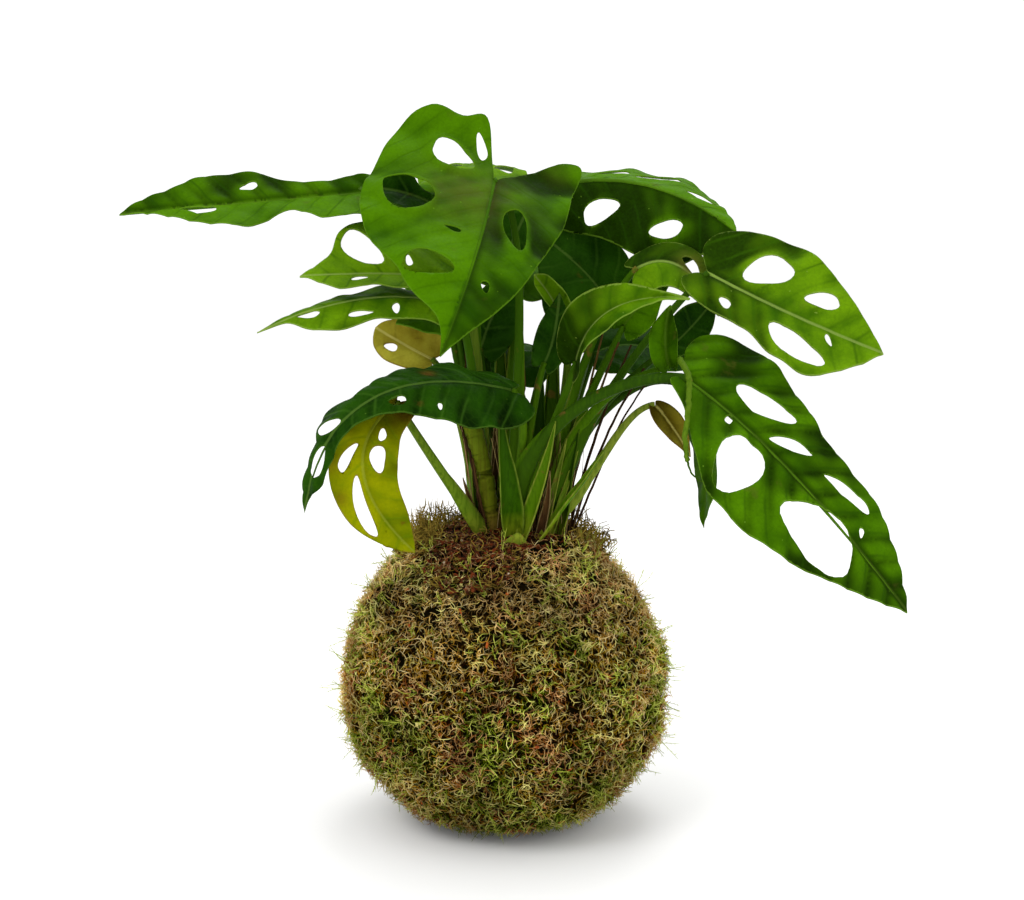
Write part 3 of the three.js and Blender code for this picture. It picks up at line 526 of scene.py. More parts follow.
        (0.25, 0.1, 0.96), ((18, 24, 160), (20, 34, 200)), fold=(-10, -14), bow=(-8, -8),
        left=[(-9, 10), (-2, 20), (18, 25), (44, 22), (64, 11)], right=[(-9, -10), (-2, -22), (18, -27),
        (44, -24), (64, -12)], holes=[(18, 12, 16, 8, 28), (44, 10, 20, 8, 18), (22, -13, 17, 9, -28),
        (48, -10, 20, 7, -18)]),
    "leaf_21_back_lower": leaf("leafDark", "d", (0, 40, 184), (-4, 68, 194), (-14, 104, 176),
        (0, 0.15, 0.98), ((0, 24, 150), (2, 32, 176)), fold=(-12, -12), bow=(-8, -8),
        left=[(-8, 9), (-2, 18), (16, 22), (38, 18), (56, 9)], right=[(-8, -9), (-2, -18), (16, -21),
        (38, -18), (56, -8)], holes=[(18, 10, 14, 7, 28), (40, 8, 16, 6, 18), (20, -10, 14, 7, -28),
        (42, -8, 15, 6, -18)]),
    "leaf_22_young_rolled": leaf("leafYoung", "e", (25, 6, 205), (20, 5, 216), (12, 4, 227), (0.3, -0.95, 0),
        ((22, 10, 160), (28, 8, 190)), fold=(30, 30), bow=(40, 40),
        left=[(-1, 3), (4, 6), (14, 7), (22, 5)], right=[(-1, -3), (4, -6), (14, -7), (22, -5)]),
}

# Small leaves deep in the clump, too small to have solids of their own
innerPlans = {
    "inner_leaf_1": leaf("leafDark", "a", (-14, 3, 244), (-34, -2, 258), (-58, -8, 262), (0, -0.8, 0.6),
        ((-12, 2, 180), (-10, 2, 226)), fold=(10, 10),
        left=[(-5, 7), (6, 12), (22, 12), (38, 8)], holes=[(24, -6, 10, 4, -20)]),
    "inner_leaf_2": leaf("leafDark", "d", (12, 18, 260), (6, 14, 246), (-4, 10, 226), (-0.2, -0.95, 0.2),
        ((2, 16, 190), (8, 22, 240)), fold=(8, 8),
        left=[(-4, 7), (5, 13), (18, 13), (30, 8)]),
    "inner_leaf_3": leaf("leafDark", "d", (-10, 10, 196), (-4, 8, 212), (6, 6, 230), (0.2, -0.95, 0.2),
        ((-4, 14, 160), (-10, 12, 184)), fold=(12, 12),
        left=[(-4, 6), (5, 11), (18, 11), (30, 6)]),
    "inner_leaf_4": leaf("leafGreen", "c", (48, 2, 206), (56, -2, 216), (66, -6, 224), (0.1, -0.9, 0.4),
        ((26, 2, 168), (42, 2, 192)), fold=(14, 14),
        left=[(-3, 5), (4, 9), (13, 9), (21, 5)]),
    "inner_leaf_5": leaf("leafDark", "e", (70, 2, 200), (77, -2, 208), (84, -8, 218), (0.1, -0.9, 0.4),
        ((28, 12, 168), (58, 8, 190)), fold=(14, 14),
        left=[(-3, 5), (4, 8), (13, 8), (21, 4)]),
    "inner_leaf_6": leaf("leafDark", "b", (16, -6, 192), (20, -6, 204), (22, -4, 220), (-0.2, -0.95, 0.2),
        ((8, -8, 156), (12, -4, 180)), fold=(16, 16),
        left=[(-3, 4), (4, 7), (14, 7), (22, 4)]),
    "inner_leaf_7": leaf("leafGreen", "a", (-20, 4, 206), (-30, 0, 210), (-44, -4, 208), (-0.1, -0.8, 0.6),
        ((-13, 4, 160), (-16, 6, 194)), fold=(10, 10),
        left=[(-3, 5), (4, 9), (14, 9), (22, 4)]),
}

leafMake = {
    "cell": 1.4,              # mm between the lines that the flat blade is cut along
    "bendSteps": 200,
    "marginSpan": 6,          # points from one margin point to the next
    "holePoints": 26,
    "thickness": 0.55,
    "quilt": 0.5,             # mm that the blade stands up between veins
    "groove": 0.45,           # mm that the midrib lies sunk in the upper side
    "ripple": 1.1,            # mm of wave at the margin
    "rippleLength": 23,
    "pucker": 1.6,            # mm that the blade swells and sinks from place to place
    "puckerSize": 24,
    "crinkle": 0.5,           # the same, finer
    "crinkleSize": 8,
    "holeLip": 0.8,           # mm that the edge of a hole stands up
    "lipReach": 1.8,
    "holeWobble": 0.09,
    "paintedReliefShade": 0.45,          # painted shade and light: how much darker a blade is where it sinks, per mm, and lighter where it rises
    "midribRadius": (1.15, 0.28),
    "midribReach": 0.93,
    "midribFull": 70,         # mm of leaf from which its midrib has that radius
    "midribSteps": 18,
    "midribSides": 8,
    "seed": 5,
}


def turned(x, y, degrees):
    angle = math.radians(degrees)
    return x * math.cos(angle) - y * math.sin(angle), x * math.sin(angle) + y * math.cos(angle)


class Blade:
    # Where a spot of the flat blade lies once the blade is bent, in millimetres
    def __init__(self, plan):
        base, middle, tip = (Vector(plan[key]) for key in ("base", "middle", "tip"))
        self.bends = (base, 2 * middle - (base + tip) / 2, tip)
        self.face = Vector(plan["face"]).normalized()
        self.plan = plan
        self.reached = [0.0]
        self.steps = leafMake["bendSteps"]
        points = [self.bezier(i / self.steps) for i in range(self.steps + 1)]
        for first, second in zip(points, points[1:]):
            self.reached.append(self.reached[-1] + (second - first).length)
        self.length = self.reached[-1]
        self.half = [max(abs(across) for along, across in plan[side]) for side in ("left", "right")]

    def bezier(self, t):
        base, pull, tip = self.bends
        return base * (1 - t) ** 2 + pull * 2 * t * (1 - t) + tip * t * t

    def midrib(self, along):
        reach = min(max(along, 0), self.length)
        high = min(bisect.bisect_right(self.reached, reach), self.steps)
        before, after = self.reached[high - 1:high + 1]
        t = (high - 1 + (reach - before) / (after - before)) / self.steps
        base, pull, tip = self.bends
        forward = ((pull - base) * (1 - t) + (tip - pull) * t).normalized()
        up = (self.face - forward * self.face.dot(forward)).normalized()
        return self.bezier(t), forward, up, up.cross(forward)

    def place(self, along, across, height):
        point, forward, up, left = self.midrib(along)
        if along < 0:
            point = point + forward * along + up * (self.plan["rise"] * along * along)
        side, sign = (0, 1) if across >= 0 else (1, -1)
        tilt = math.radians(self.plan["fold"][side])
        roll = math.radians(self.plan["bow"][side] or 0.01) / self.half[side]
        lean = tilt + roll * abs(across)
        aside = (math.sin(lean) - math.sin(tilt)) / roll
        lift = (math.cos(tilt) - math.cos(lean)) / roll
        point = point + left * (sign * aside) + up * lift
        return point + (up * math.cos(lean) - left * (sign * math.sin(lean))) * height


def relief(blade, along, across, phase):
    # Height of the upper side over the plain blade: quilted between veins, sunk at the midrib
    side = 0 if across >= 0 else 1
    half = blade.half[side]
    reach = abs(across)
    share = min(reach / half, 1)
    waves = (along - veins["sweep"] * reach - veins["curl"] * reach * reach) / veins["gap"]
    swell = abs(math.sin(math.pi * waves)) ** 0.8 * min(reach / 3, 1) * (1 - 0.6 * share)
    height = leafMake["quilt"] * blade.plan["quilt"] * swell
    height -= leafMake["groove"] * math.exp(-(reach / 1.3) ** 2)
    spot = Vector((along, across, 10 * phase[0])) / leafMake["puckerSize"]
    pucker = leafMake["pucker"] * blade.plan["swell"]
    height += pucker * noise.noise(spot) * min(reach / 8, 1) * min(half / 16, 1)
    spot = Vector((along, across, 20 * phase[1])) / leafMake["crinkleSize"]
    height += leafMake["crinkle"] * noise.noise(spot) * min(reach / 5, 1)
    for holeAlong, holeAcross, length, breadth, lean in blade.plan["holes"]:
        x, y = turned(along - holeAlong, across - holeAcross, -lean)
        away = (math.hypot(x * 2 / length, y * 2 / breadth) - 1) * breadth / 2
        lip = leafMake["holeLip"] * blade.plan["lip"] * min(breadth / 8, 1)
        height += lip * math.exp(-(away / leafMake["lipReach"]) ** 2)
    wave = math.sin(2 * math.pi * along / leafMake["rippleLength"] + phase[side])
    return height + leafMake["ripple"] * wave * share * share * min(half / 20, 1)


def flatBlade(blade, chance):
    bm = newMesh("rim", "shade", "stain")
    right, left = (splineThrough([(0, 0), *blade.plan[side], (blade.length, 0)], leafMake["marginSpan"])
                   for side in ("right", "left"))
    rings = [right + left[-2:0:-1]]
    for along, across, length, breadth, lean in blade.plan["holes"]:
        wobble = chance.uniform(0, 6)
        ring = []
        for i in range(leafMake["holePoints"]):
            angle = 2 * math.pi * i / leafMake["holePoints"]
            grow = 1 + leafMake["holeWobble"] * math.sin(3 * angle + wobble)
            x, y = turned(length / 2 * math.cos(angle) * grow, breadth / 2 * math.sin(angle) * grow, lean)
            ring.append((along + x, across + y))
        rings.append(ring)
    for ring in rings:
        corners = [bm.verts.new((x, y, 0)) for x, y in ring]
        for first, second in zip(corners, corners[1:] + corners[:1]):
            bm.edges.new((first, second))
    bmesh.ops.triangle_fill(bm, use_beauty=True, use_dissolve=False, edges=bm.edges[:], normal=(0, 0, 1))

    # Cut along an even grid, then drop what the filling drew across its cells
    cell = leafMake["cell"]
    for axis in range(2):
        reaches = [vert.co[axis] for vert in bm.verts]
        for line in range(math.ceil(min(reaches) / cell), math.floor(max(reaches) / cell) + 1):
            spot, normal = Vector(), Vector()
            spot[axis], normal[axis] = line * cell, 1
            parts = bm.verts[:] + bm.edges[:] + bm.faces[:]
            bmesh.ops.bisect_plane(bm, geom=parts, dist=1e-4, plane_co=spot, plane_no=normal)
    slanted = []
    for edge in bm.edges:
        run = edge.verts[1].co - edge.verts[0].co
        if len(edge.link_faces) == 2 and min(abs(run.x), abs(run.y)) > 1e-3:
            slanted.append(edge)
    bmesh.ops.dissolve_edges(bm, edges=slanted, use_verts=False)
    bmesh.ops.recalc_face_normals(bm, faces=bm.faces[:])
    if sum(face.normal.z for face in bm.faces) < 0:
        bmesh.ops.reverse_faces(bm, faces=bm.faces[:])
    return bm


def makeLeaf(name, plan, solids=()):
    blade = Blade(plan)
    chance = random.Random(f"{name}{leafMake['seed']}")
    phase = [chance.uniform(0, 6.28), chance.uniform(0, 6.28)]
    bm = flatBlade(blade, chance)
    rim, shade, stain = (bm.verts.layers.float[trait] for trait in ("rim", "shade", "stain"))
    bladeMap = bm.loops.layers.uv.new("bladeMap")
    for face in bm.faces:
        for loop in face.loops:
            loop[bladeMap].uv = (loop.vert.co.x / 100, loop.vert.co.y / 100)
    for vert in bm.verts:
        along, across = vert.co.x, vert.co.y
        height = relief(blade, along, across, phase)
        vert[rim] = 1.0 if vert.is_boundary else 0.0
        # The shade trait: painted shade and light on each half and end, partly the leaf's own darker or
        # fresher tone, and painted shade in valleys and light on ridges
        base, tip = plan["ends"]
        tint = plan["sides"][0 if across >= 0 else 1] + base
        tint += (tip - base) * min(max(along / blade.length, 0), 1) + leafMake["paintedReliefShade"] * (height - 0.3)
        vert[shade] = 0.5 + 0.5 * min(max(tint, -1), 1)
        for spotAlong, spotAcross, size, strength in plan["stains"]:
            away = math.hypot(along - spotAlong, across - spotAcross) / size
            vert[stain] = max(vert[stain], strength * math.exp(-away * away))
        vert.co = blade.place(along, across, height) * mm
    bmesh.ops.solidify(bm, geom=bm.faces[:], thickness=leafMake["thickness"] * mm)
    bmesh.ops.recalc_face_normals(bm, faces=bm.faces[:])

    # The midrib stands out of the underside and thins towards the tip
    thick, thin = leafMake["midribRadius"]

    def midribAt(share):
        radius = (thick + (thin - thick) * share) * min(1, blade.length / leafMake["midribFull"])
        along = blade.length * leafMake["midribReach"] * share
        return blade.place(along, 0, -leafMake["groove"] - radius * 0.55), radius, blade.midrib(along)[2]

    points, radii, ups = columnsAlong(leafMake["midribSteps"], midribAt)
    for face in sweepBar(bm, stationsAlong(points, radii, upward=ups), leafMake["midribSides"], shade=0.5):
        for loop in face.loops:
            loop[bladeMap].uv = (0, 0)
    finishPiece(bm, name + "_blade", finishes[plan["tone"]], solids)


for leafName, leafPlan in leafPlans.items():
    makeLeaf(leafName, leafPlan, [leafName])
for leafName, leafPlan in innerPlans.items():
    makeLeaf(leafName, leafPlan)
print(f"{len(leafPlans) + len(innerPlans)} leaves made")


# Shoots: a stem in its hole in the soil, with its leaf stalks and their sheaths

shootPlans = {
    # letter: (name, foot, top) in mm
    "a": ("shoot_a_left", (-8, 1), (-11, 1)),
    "b": ("shoot_b_front", (4, -11), (4, -13)),
    "c": ("shoot_c_right", (17, -4), (20, -5)),
    "d": ("shoot_d_back_left", (0, 13), (-2, 16)),
    "e": ("shoot_e_back_right", (15, 12), (18, 14)),
}

shootMake = {
    "height": (100, 134),
    "stemRadius": (4.2, 3.1),
    "stemSteps": 24,
    "ringGap": 7,             # mm between the scars round a stem
    "ringSize": 0.35,
    "stalkStart": 129,
    "stalkRadius": (2.6, 1.3),
    "stalkSteps": 40,
    "stalkSides": 14,
    "roundSides": 18,         # of stems and sheaths
    "flareEnd": 0.4,
    "groove": 0.45,
    "sheathReach": (0.02, 0.47),   # shares of the stalk that its sheath runs between
    "sheathSteps": 16,
    "sheathWidth": 1.3,       # times the stalk's radius
    "sheathThickness": 0.5,
    "sheathOpening": 0.4,
    # painted highlight: how much paler a sheath's edges are
    "edgeHighlight": 0.4,
}


def bezierPoint(ends, t):
    a, b, c, d = ends
    return a * (1 - t) ** 3 + b * 3 * t * (1 - t) ** 2 + c * 3 * t * t * (1 - t) + d * t ** 3


def addTrough(bm, age, stations, opening):
    # A thin trough from station to station, open above a share of its depth, with a painted highlight along
    # its edges
    earlier = set(bm.verts)
    first, sides = stations[0], shootMake["roundSides"]
    ring = bmesh.ops.create_circle(bm, segments=sides, radius=1, matrix=first)["verts"]
    opened = [vert for vert in ring if (first.inverted() @ vert.co).y > opening]
    arc = [vert for vert in ring if vert not in opened]
    bmesh.ops.delete(bm, geom=opened, context="VERTS")
    edges = list({edge for vert in arc for edge in vert.link_edges})
    sheet = []
    for before, station in zip(stations, stations[1:]):
        edges, faces = extend(bm, edges, before, station)
        sheet += faces
    bmesh.ops.recalc_face_normals(bm, faces=sheet)
    layer = bm.verts.layers.float["age"]
    for vert in set(bm.verts) - earlier:
        vert[layer] = min(age + shootMake["edgeHighlight"], 1) if vert.is_boundary else age
    bmesh.ops.solidify(bm, geom=sheet, thickness=shootMake["sheathThickness"] * mm)


def addStalk(bm, plan, top, age):
    start = Vector(plan.get("root", (*top, shootMake["stalkStart"])))
    ends = [start] + [Vector(bend) for bend in plan["stalk"]] + [Vector(plan["base"])]
    inward = Vector((start.x - ends[3].x, start.y - ends[3].y + 0.01, 0)).normalized()
    thick, thin = shootMake["stalkRadius"]

    def sizeAt(share, swell):
        radius = (thick + (thin - thick) * share) * plan["stalkSize"] * swell
        return radius, radius * (1 + plan["flare"] * max(0, 1 - share / shootMake["flareEnd"]))

    def stalkAt(share):
        radius, wide = sizeAt(share, 0.5 + 0.5 * math.sin(min(share / 0.1, 1) * math.pi / 2))
        return bezierPoint(ends, share), wide, radius

    def sheathAt(share):
        # its wings stand up on the inner side and run out up the stalk
        low, high = shootMake["sheathReach"]
        where = low + share * (high - low)
        radius, wide = sizeAt(where, shootMake["sheathWidth"])
        fade = math.sqrt(max(1 - share ** 3, 0.02)) * (0.6 + 0.4 * min(share / 0.15, 1))
        return bezierPoint(ends, where) + inward * radius * 0.55, wide * fade, radius * 1.5 * fade

    stations = stationsAlong(*columnsAlong(shootMake["stalkSteps"], stalkAt), inward)
    sweepBar(bm, stations, shootMake["stalkSides"], shootMake["groove"], age=age)
    stations = stationsAlong(*columnsAlong(shootMake["sheathSteps"], sheathAt), inward)
    addTrough(bm, age, stations, shootMake["sheathOpening"])


def makeShoot(letter, name, foot, top):
    bm = newMesh("age")
    chance = random.Random(name)
    low, high = shootMake["height"]
    thick, thin = shootMake["stemRadius"]

    def stemAt(share):
        height = low + (high - low) * share
        ring = shootMake["ringSize"] * math.exp(-((height % shootMake["ringGap"]) - 1) ** 2)
        x, y = (start + (end - start) * share ** 2 for start, end in zip(foot, top))
        return Vector((x, y, height)), thick + (thin - thick) * share + ring

    points, radii = columnsAlong(shootMake["stemSteps"], stemAt)
    stations = stationsAlong(points, radii, upward=Vector((0, 1, 0)))
    sweepBar(bm, stations, shootMake["roundSides"], age=0.5)
    for plan in [*leafPlans.values(), *innerPlans.values()]:
        if plan["shoot"] == letter:
            addStalk(bm, plan, top, plan.get("age", chance.uniform(0.1, 0.7)))
    finishPiece(bm, name + "_stalks", finishes["stalk"], [name])


for shootLetter, shootPlan in shootPlans.items():
    makeShoot(shootLetter, *shootPlan)
print("shoots made")


# Loose sheaths round the stems, old canes, dried fibres, and thin dark rootlets among the stalks

scalePlans = {
    # finish: (age, points, widest half width, way the open side looks), in mm
    "stalkDark": [
        (0.5, [(3.8, -18, 117.5), (3.8, -23, 128), (3, -27, 138), (1.6, -30, 150), (-0.2, -32, 162),
         (-2, -33, 180)], 5.6, (0.45, -1, 0)),
        (0.2, [(11, 4, 120), (12.5, 4, 140), (14, 4, 160), (15.5, 5, 184)], 4.6, (0, -1, 0)),
        (0.3, [(19, -9, 120), (22, -12, 132), (25, -13, 148), (30, -13, 166)], 4.4, (-0.5, -1, 0)),
    ],
    "stalk": [
        (0.55, [(4.6, -19, 117.5), (7.2, -21, 127), (11, -25, 139), (14.5, -28, 150), (17.5, -31, 161),
         (20, -33, 172)], 3.7, (-0.9, -1, 0)),
        (0.75, [(3.4, -19, 117.5), (4.3, -21.5, 120.5), (5, -24, 123.5), (5.4, -25, 126)], 5.8,
         (-0.05, 1, 0)),
        (0.5, [(10.5, -17, 118), (16.2, -18, 127), (22.2, -19, 136), (30.1, -20, 146), (36, -20, 154),
         (42, -19, 161)], 3.5, (-0.5, -0.2, 1)),
        (0.8, [(15, -11, 120), (18, -12, 134), (21.5, -12, 148), (25, -12, 162)], 1.7, (-0.3, -1, 0)),
        (0.7, [(18, -11, 120), (22, -12, 134), (26.5, -12, 148), (31, -12, 164)], 1.5, (-0.3, -1, 0)),
        (0.45, [(-8, -4, 121), (-9, -6, 135), (-11, -7, 150), (-12, -8, 166)], 4.6, (0.6, -1, 0)),
        (0.5, [(-2, 20, 120), (-4, 23, 134), (-6, 26, 150), (-9, 30, 170)], 4.4, (0.2, 1, 0)),
        (0.3, [(18, 18, 120), (21, 21, 134), (25, 24, 150), (28, 28, 168)], 4.4, (-0.3, 1, 0)),
    ],
    "stalkBrown": [
        (0.3, [(-9, -9, 119), (-11.5, -10, 127), (-14, -11, 136), (-17, -12, 146)], 1.8, (0.5, -1, 0)),
        (0.4, [(13, -14, 119), (15, -17, 128), (17, -18, 138), (18, -19, 150)], 2.2, (-0.5, -1, 0)),
        (0.5, [(-1, 12, 119), (-3, 11, 134), (-4, 10, 150), (-4, 8, 168)], 2.6, (0.1, -1, 0)),
        (0.4, [(16, 17, 119), (15, 20, 128), (13, 22, 138), (12, 23, 148)], 2.6, (0.3, 1, 0)),
    ],
}

barPlans = {
    # (piece, finish): (age, points, half widths at the two ends), in mm
    ("canes", "stalkOld"): [
        (0.6, [(-3.6, -6, 116), (-4.8, -7, 126), (-6.6, -8, 136), (-8.4, -9, 146), (-10.4, -9, 156),
         (-13.4, -9, 166), (-17.5, -8, 177), (-20, -7, 184)], (3.5, 4.0)),
        (0.2, [(9, 1, 118), (8, -2, 136), (6, -5, 156), (2, -8, 176)], (3.0, 2.0)),
    ],
    ("hanging_stalk", "stalk"): [
        (0.65, [(67, -48, 198), (69.5, -56, 192), (69, -63, 181), (67.6, -67, 171), (68.4, -69, 162)],
         (1.3, 0.9)),
        (0.2, [(68.4, -69, 162), (70, -70, 157.5), (74.5, -70, 154)], (0.5, 0.2)),
    ],
    ("rootlets", "stalkBrown"): [
        (0.1, [(-7.5, -9, 119), (-9.6, -11, 132), (-12, -12, 146), (-14.8, -12, 158), (-19, -11, 170)],
         (0.9, 0.5)),
        (0.3, [(-6.8, -10, 119), (-8.4, -12, 130), (-11, -13, 142), (-13, -13, 154)], (0.7, 0.4)),
        (0.25, [(24, 2, 120), (30, 0, 150), (38, -2, 178), (46, -4, 200)], (0.75, 0.4)),
        (0.1, [(26, 2, 120), (33, -1, 148), (42, -2, 176), (51, -5, 199)], (0.75, 0.4)),
        (0.4, [(23, 4, 120), (29, 3, 152), (34, 2, 178), (40, 2, 204)], (0.7, 0.4)),
        (0.1, [(27, 0, 120), (35, -3, 146), (45, -6, 170), (56, -9, 190)], (0.7, 0.4)),
        (0.1, [(28, 0, 120), (37, -4, 144), (47, -8, 168), (58, -11, 186)], (0.6, 0.3)),
        (0.5, [(-12, 2, 120), (-15, 0, 146), (-17, 2, 170), (-16, 4, 196)], (0.7, 0.4)),
        (0.3, [(8, 4, 120), (6, 2, 150), (8, 4, 180), (6, 2, 206)], (0.75, 0.4)),
    ],
}

barMake = {"scarGap": 9, "scarSize": 0.09, "wander": 0.25, "sides": (16, 6), "thick": 2, "seed": 21}

fibreMake = {
    "count": 130,
    "around": [(-8, -6), (-9, 4), (0, -10), (13, -12), (20, -6), (26, 0), (0, 14), (16, 14)],   # mm
    "spread": 2,
    "foot": 118,
    "height": (10, 52),
    "radius": (0.16, 0.3),
    "taper": 0.56,
    "steps": 7,
    "seed": 17,
}


def makeScales():
    for finish, rows in scalePlans.items():
        bm = newMesh("age")
        for age, path, half, facing in rows:
            points = [Vector(spot) for spot in splineThrough(path, 6)]
            widths = []
            for i in range(len(points)):
                share = i / (len(points) - 1)
                swell = 0.55 + 0.45 * math.sin(min(share / 0.35, 1) * math.pi / 2)
                widths.append(half * swell * (1 - share ** 2.2) + 0.15)
            depths = [width * 0.75 for width in widths]
            addTrough(bm, age, stationsAlong(points, widths, depths, Vector(facing).normalized()), 0.15)
        finishPiece(bm, "scales_" + finish, finishes[finish])


def makeBars():
    chance = random.Random(barMake["seed"])
    for (piece, finish), rows in barPlans.items():
        bm = newMesh("age")
        for age, path, (thick, thin) in rows:
            spots = splineThrough(path, 8)
            points, widths = [], []
            for i, spot in enumerate(spots):
                wander = Vector((chance.uniform(-1, 1), chance.uniform(-1, 1), 0)) * min(thick, 1.2)
                points.append(Vector(spot) + wander * barMake["wander"])
                ring = 1 + barMake["scarSize"] * math.exp(-((spot[2] % barMake["scarGap"]) - 1) ** 2)
                widths.append((thick + (thin - thick) * i / len(spots)) * ring)
            sides = barMake["sides"][0 if thick > barMake["thick"] else 1]
            sweepBar(bm, stationsAlong(points, widths), sides, age=age)
        finishPiece(bm, piece, finishes[finish])


def makeFibres():
    # Shreds of old sheaths, standing up along the stems
    chance = random.Random(fibreMake["seed"])
    bm = newMesh("age")
    for i in range(fibreMake["count"]):
        x, y = chance.choice(fibreMake["around"])
        x += chance.gauss(0, 1) * fibreMake["spread"]
        y += chance.gauss(0, 1) * fibreMake["spread"]
        height = chance.uniform(*fibreMake["height"])
        lean = Vector((x * chance.uniform(0, 0.008), y * chance.uniform(0, 0.008), 1))
        sway = Vector((chance.uniform(-0.2, 0.2), chance.uniform(-0.2, 0.2), 0))
        thick = chance.uniform(*fibreMake["radius"])
        foot = Vector((x, y, fibreMake["foot"]))

        def fibreAt(share):
            bend = lean * (height * share) + sway * (height * share * share)
            return foot + bend, thick * (1 - fibreMake["taper"] * share)

        stations = stationsAlong(*columnsAlong(fibreMake["steps"], fibreAt))
        sweepBar(bm, stations, 4, age=chance.uniform(0.1, 1))
    finishPiece(bm, "fibres", finishes["stalkBrown"])


makeScales()
makeBars()
makeFibres()
print("scales, canes and fibres made")


# The ball: a lumpy moss mat, the soil at its top, and strands all over

ballMake = {
    "profile": [(22, 0), (43, 7), (58, 23), (66, 39), (68.5, 55), (67, 72), (61.5, 91), (51.5, 107),
                (41, 116.5), (31, 121.5)],
    "inside": [(27, 117), (20, 110), (0, 108)],
    "segments": 128,
    "lump": 0.8,
    "waves": ((5, 0.09), (9, -0.17), (2, 0.21)),    # waves round the ball and their slant
    "hollow": 3.5,            # mm that the right shoulder falls in
    "sunk": 4.6,              # mm that the mat lies under the solid's outside
    "soilTop": 124.5,
    "soilDome": 4.5,          # mm from the soil's edge up to its middle
    "soilRadius": 30,
}


def lumpAt(angle, height):
    def step(low, high):
        share = min(max((height - low) / (high - low), 0), 1)
        return share * share * (3 - 2 * share)
    fade = step(0, 14) * (1 - step(106, 121))
    waves = sum(math.sin(turns * angle + height * slant) for turns, slant in ballMake["waves"])
    hollow = max(0, math.cos(angle)) * step(70, 96) * (1 - step(112, 121))
    return ballMake["lump"] * fade * waves - ballMake["hollow"] * hollow


def topHeight(x, y):
    # The soil's dome, and the moss shoulder beyond its edge
    away = math.hypot(x, y)
    fall = ballMake["soilDome"] * min(away / ballMake["soilRadius"], 1) ** 2
    if away >= ballMake["soilRadius"]:
        for (r1, z1), (r2, z2) in zip(ballMake["profile"], ballMake["profile"][1:]):
            if z1 > 60 and r2 <= away <= r1:
                return z1 + (z2 - z1) * (r1 - away) / (r1 - r2)
    return ballMake["soilTop"] - fall


def rough(spot, *levels):
    return sum(noise.noise(spot / size) * strength for size, strength in levels)


def makeMat():
    bm = bmesh.new()
    path = [(0, 0)] + splineThrough(ballMake["profile"], 6) + ballMake["inside"]
    verts = [bm.verts.new((x * mm, 0, z * mm)) for x, z in path]
    edges = [bm.edges.new(pair) for pair in zip(verts, verts[1:])]
    bmesh.ops.spin(bm, geom=verts + edges, axis=(0, 0, 1), cent=(0, 0, 0), angle=2 * math.pi,
                   steps=ballMake["segments"], use_merge=True)
    bmesh.ops.remove_doubles(bm, verts=bm.verts[:], dist=1e-5)
    for vert in bm.verts:
        radius, height = math.hypot(vert.co.x, vert.co.y), vert.co.z / mm
        if radius == 0 or radius < 25 * mm and height > 100:
            continue
        angle = math.atan2(vert.co.y, vert.co.x)
        bumps = rough(vert.co, (5 * mm, 0.9), (2 * mm, 0.5)) - ballMake["sunk"]
        grow = 1 + (lumpAt(angle, height) + bumps * min(height / 4, 1)) * mm / radius
        vert.co.x *= grow
        vert.co.y *= grow
    bmesh.ops.recalc_face_normals(bm, faces=bm.faces[:])
    finishPiece(bm, "moss_mat", mossFinishes["mat"], ["moss_skin"])


mossToneKeys = ("dark", "mid", "pale", "root")
mossTones = {
    # the mat, near black for painted shade between the strands, four strand colours, the fronds with the
    # wisps, and the curls at the rim
    "mat": ((6, 4, 1), (26, 18, 6), (16, 14, 4), (6, 4, 1)),
    "olive": ((106, 78, 0), (204, 164, 16), (255, 248, 156), (34, 16, 0)),
    "straw": ((138, 88, 6), (228, 174, 46), (255, 238, 176), (44, 18, 0)),
    "green": ((62, 78, 0), (134, 156, 4), (242, 246, 122), (20, 20, 0)),
    "brown": ((116, 48, 12), (184, 114, 44), (250, 208, 140), (42, 12, 2)),
    "fronds": ((54, 80, 2), (122, 152, 18), (220, 230, 96), (22, 26, 0)),
    "curls": ((38, 24, 4), (88, 68, 18), (160, 136, 58), (18, 8, 0)),
}


def mossFinish(kind, row):
    tone = dict(zip(mossToneKeys, row))
    tree = Tree("moss_" + kind)
    if kind == "mat":
        # The mat is near black: painted shade in the gaps between the strands
        shade = tree.mix(tree.ease(tree.speckle(260, 4), 0.35, 0.65), tone["root"], tone["mid"])
        shade = tree.layer(shade, tone, (tree.ease(tree.speckle(60, 3), 0.4, 0.6), "pale"))
        return tree.finish(shade, 0.7, 0.0, (tree.speckle(500, 3), 1.0, 0.002))
    reach, height = tree.trait("reach"), tree.height()
    shade = tree.layer(
        tree.ramp(tree.trait("tint"), (0.0, tone["dark"]), (0.45, tone["mid"]), (1.0, tone["pale"])), tone,
        (tree.ease(reach, 0.6, 1.1, 0.0, 0.5), "pale"),        # painted highlight on the tips
        (tree.ease(height, 0.08, 0.105, 0.0, 0.16), "pale"),   # painted light on the ball's top
    )
    # Dark at the root, partly the moss's own brown base and partly painted shade deep among the strands,
    # more so in patches, and painted shade low on the ball
    patch = tree.ease(tree.speckle(48, 3), 0.38, 0.62, 0.54, 1.0)
    young = tree.calc("MULTIPLY", tree.ease(reach, 0.0, 0.75), patch)
    young = tree.calc("MULTIPLY", young, tree.ease(height, 0.0, 0.06, 0.5, 1.0))
    return tree.finish(tree.mix(young, tone["root"], shade), 0.7, 0.004)


mossFinishes = {kind: mossFinish(kind, row) for kind, row in mossTones.items()}

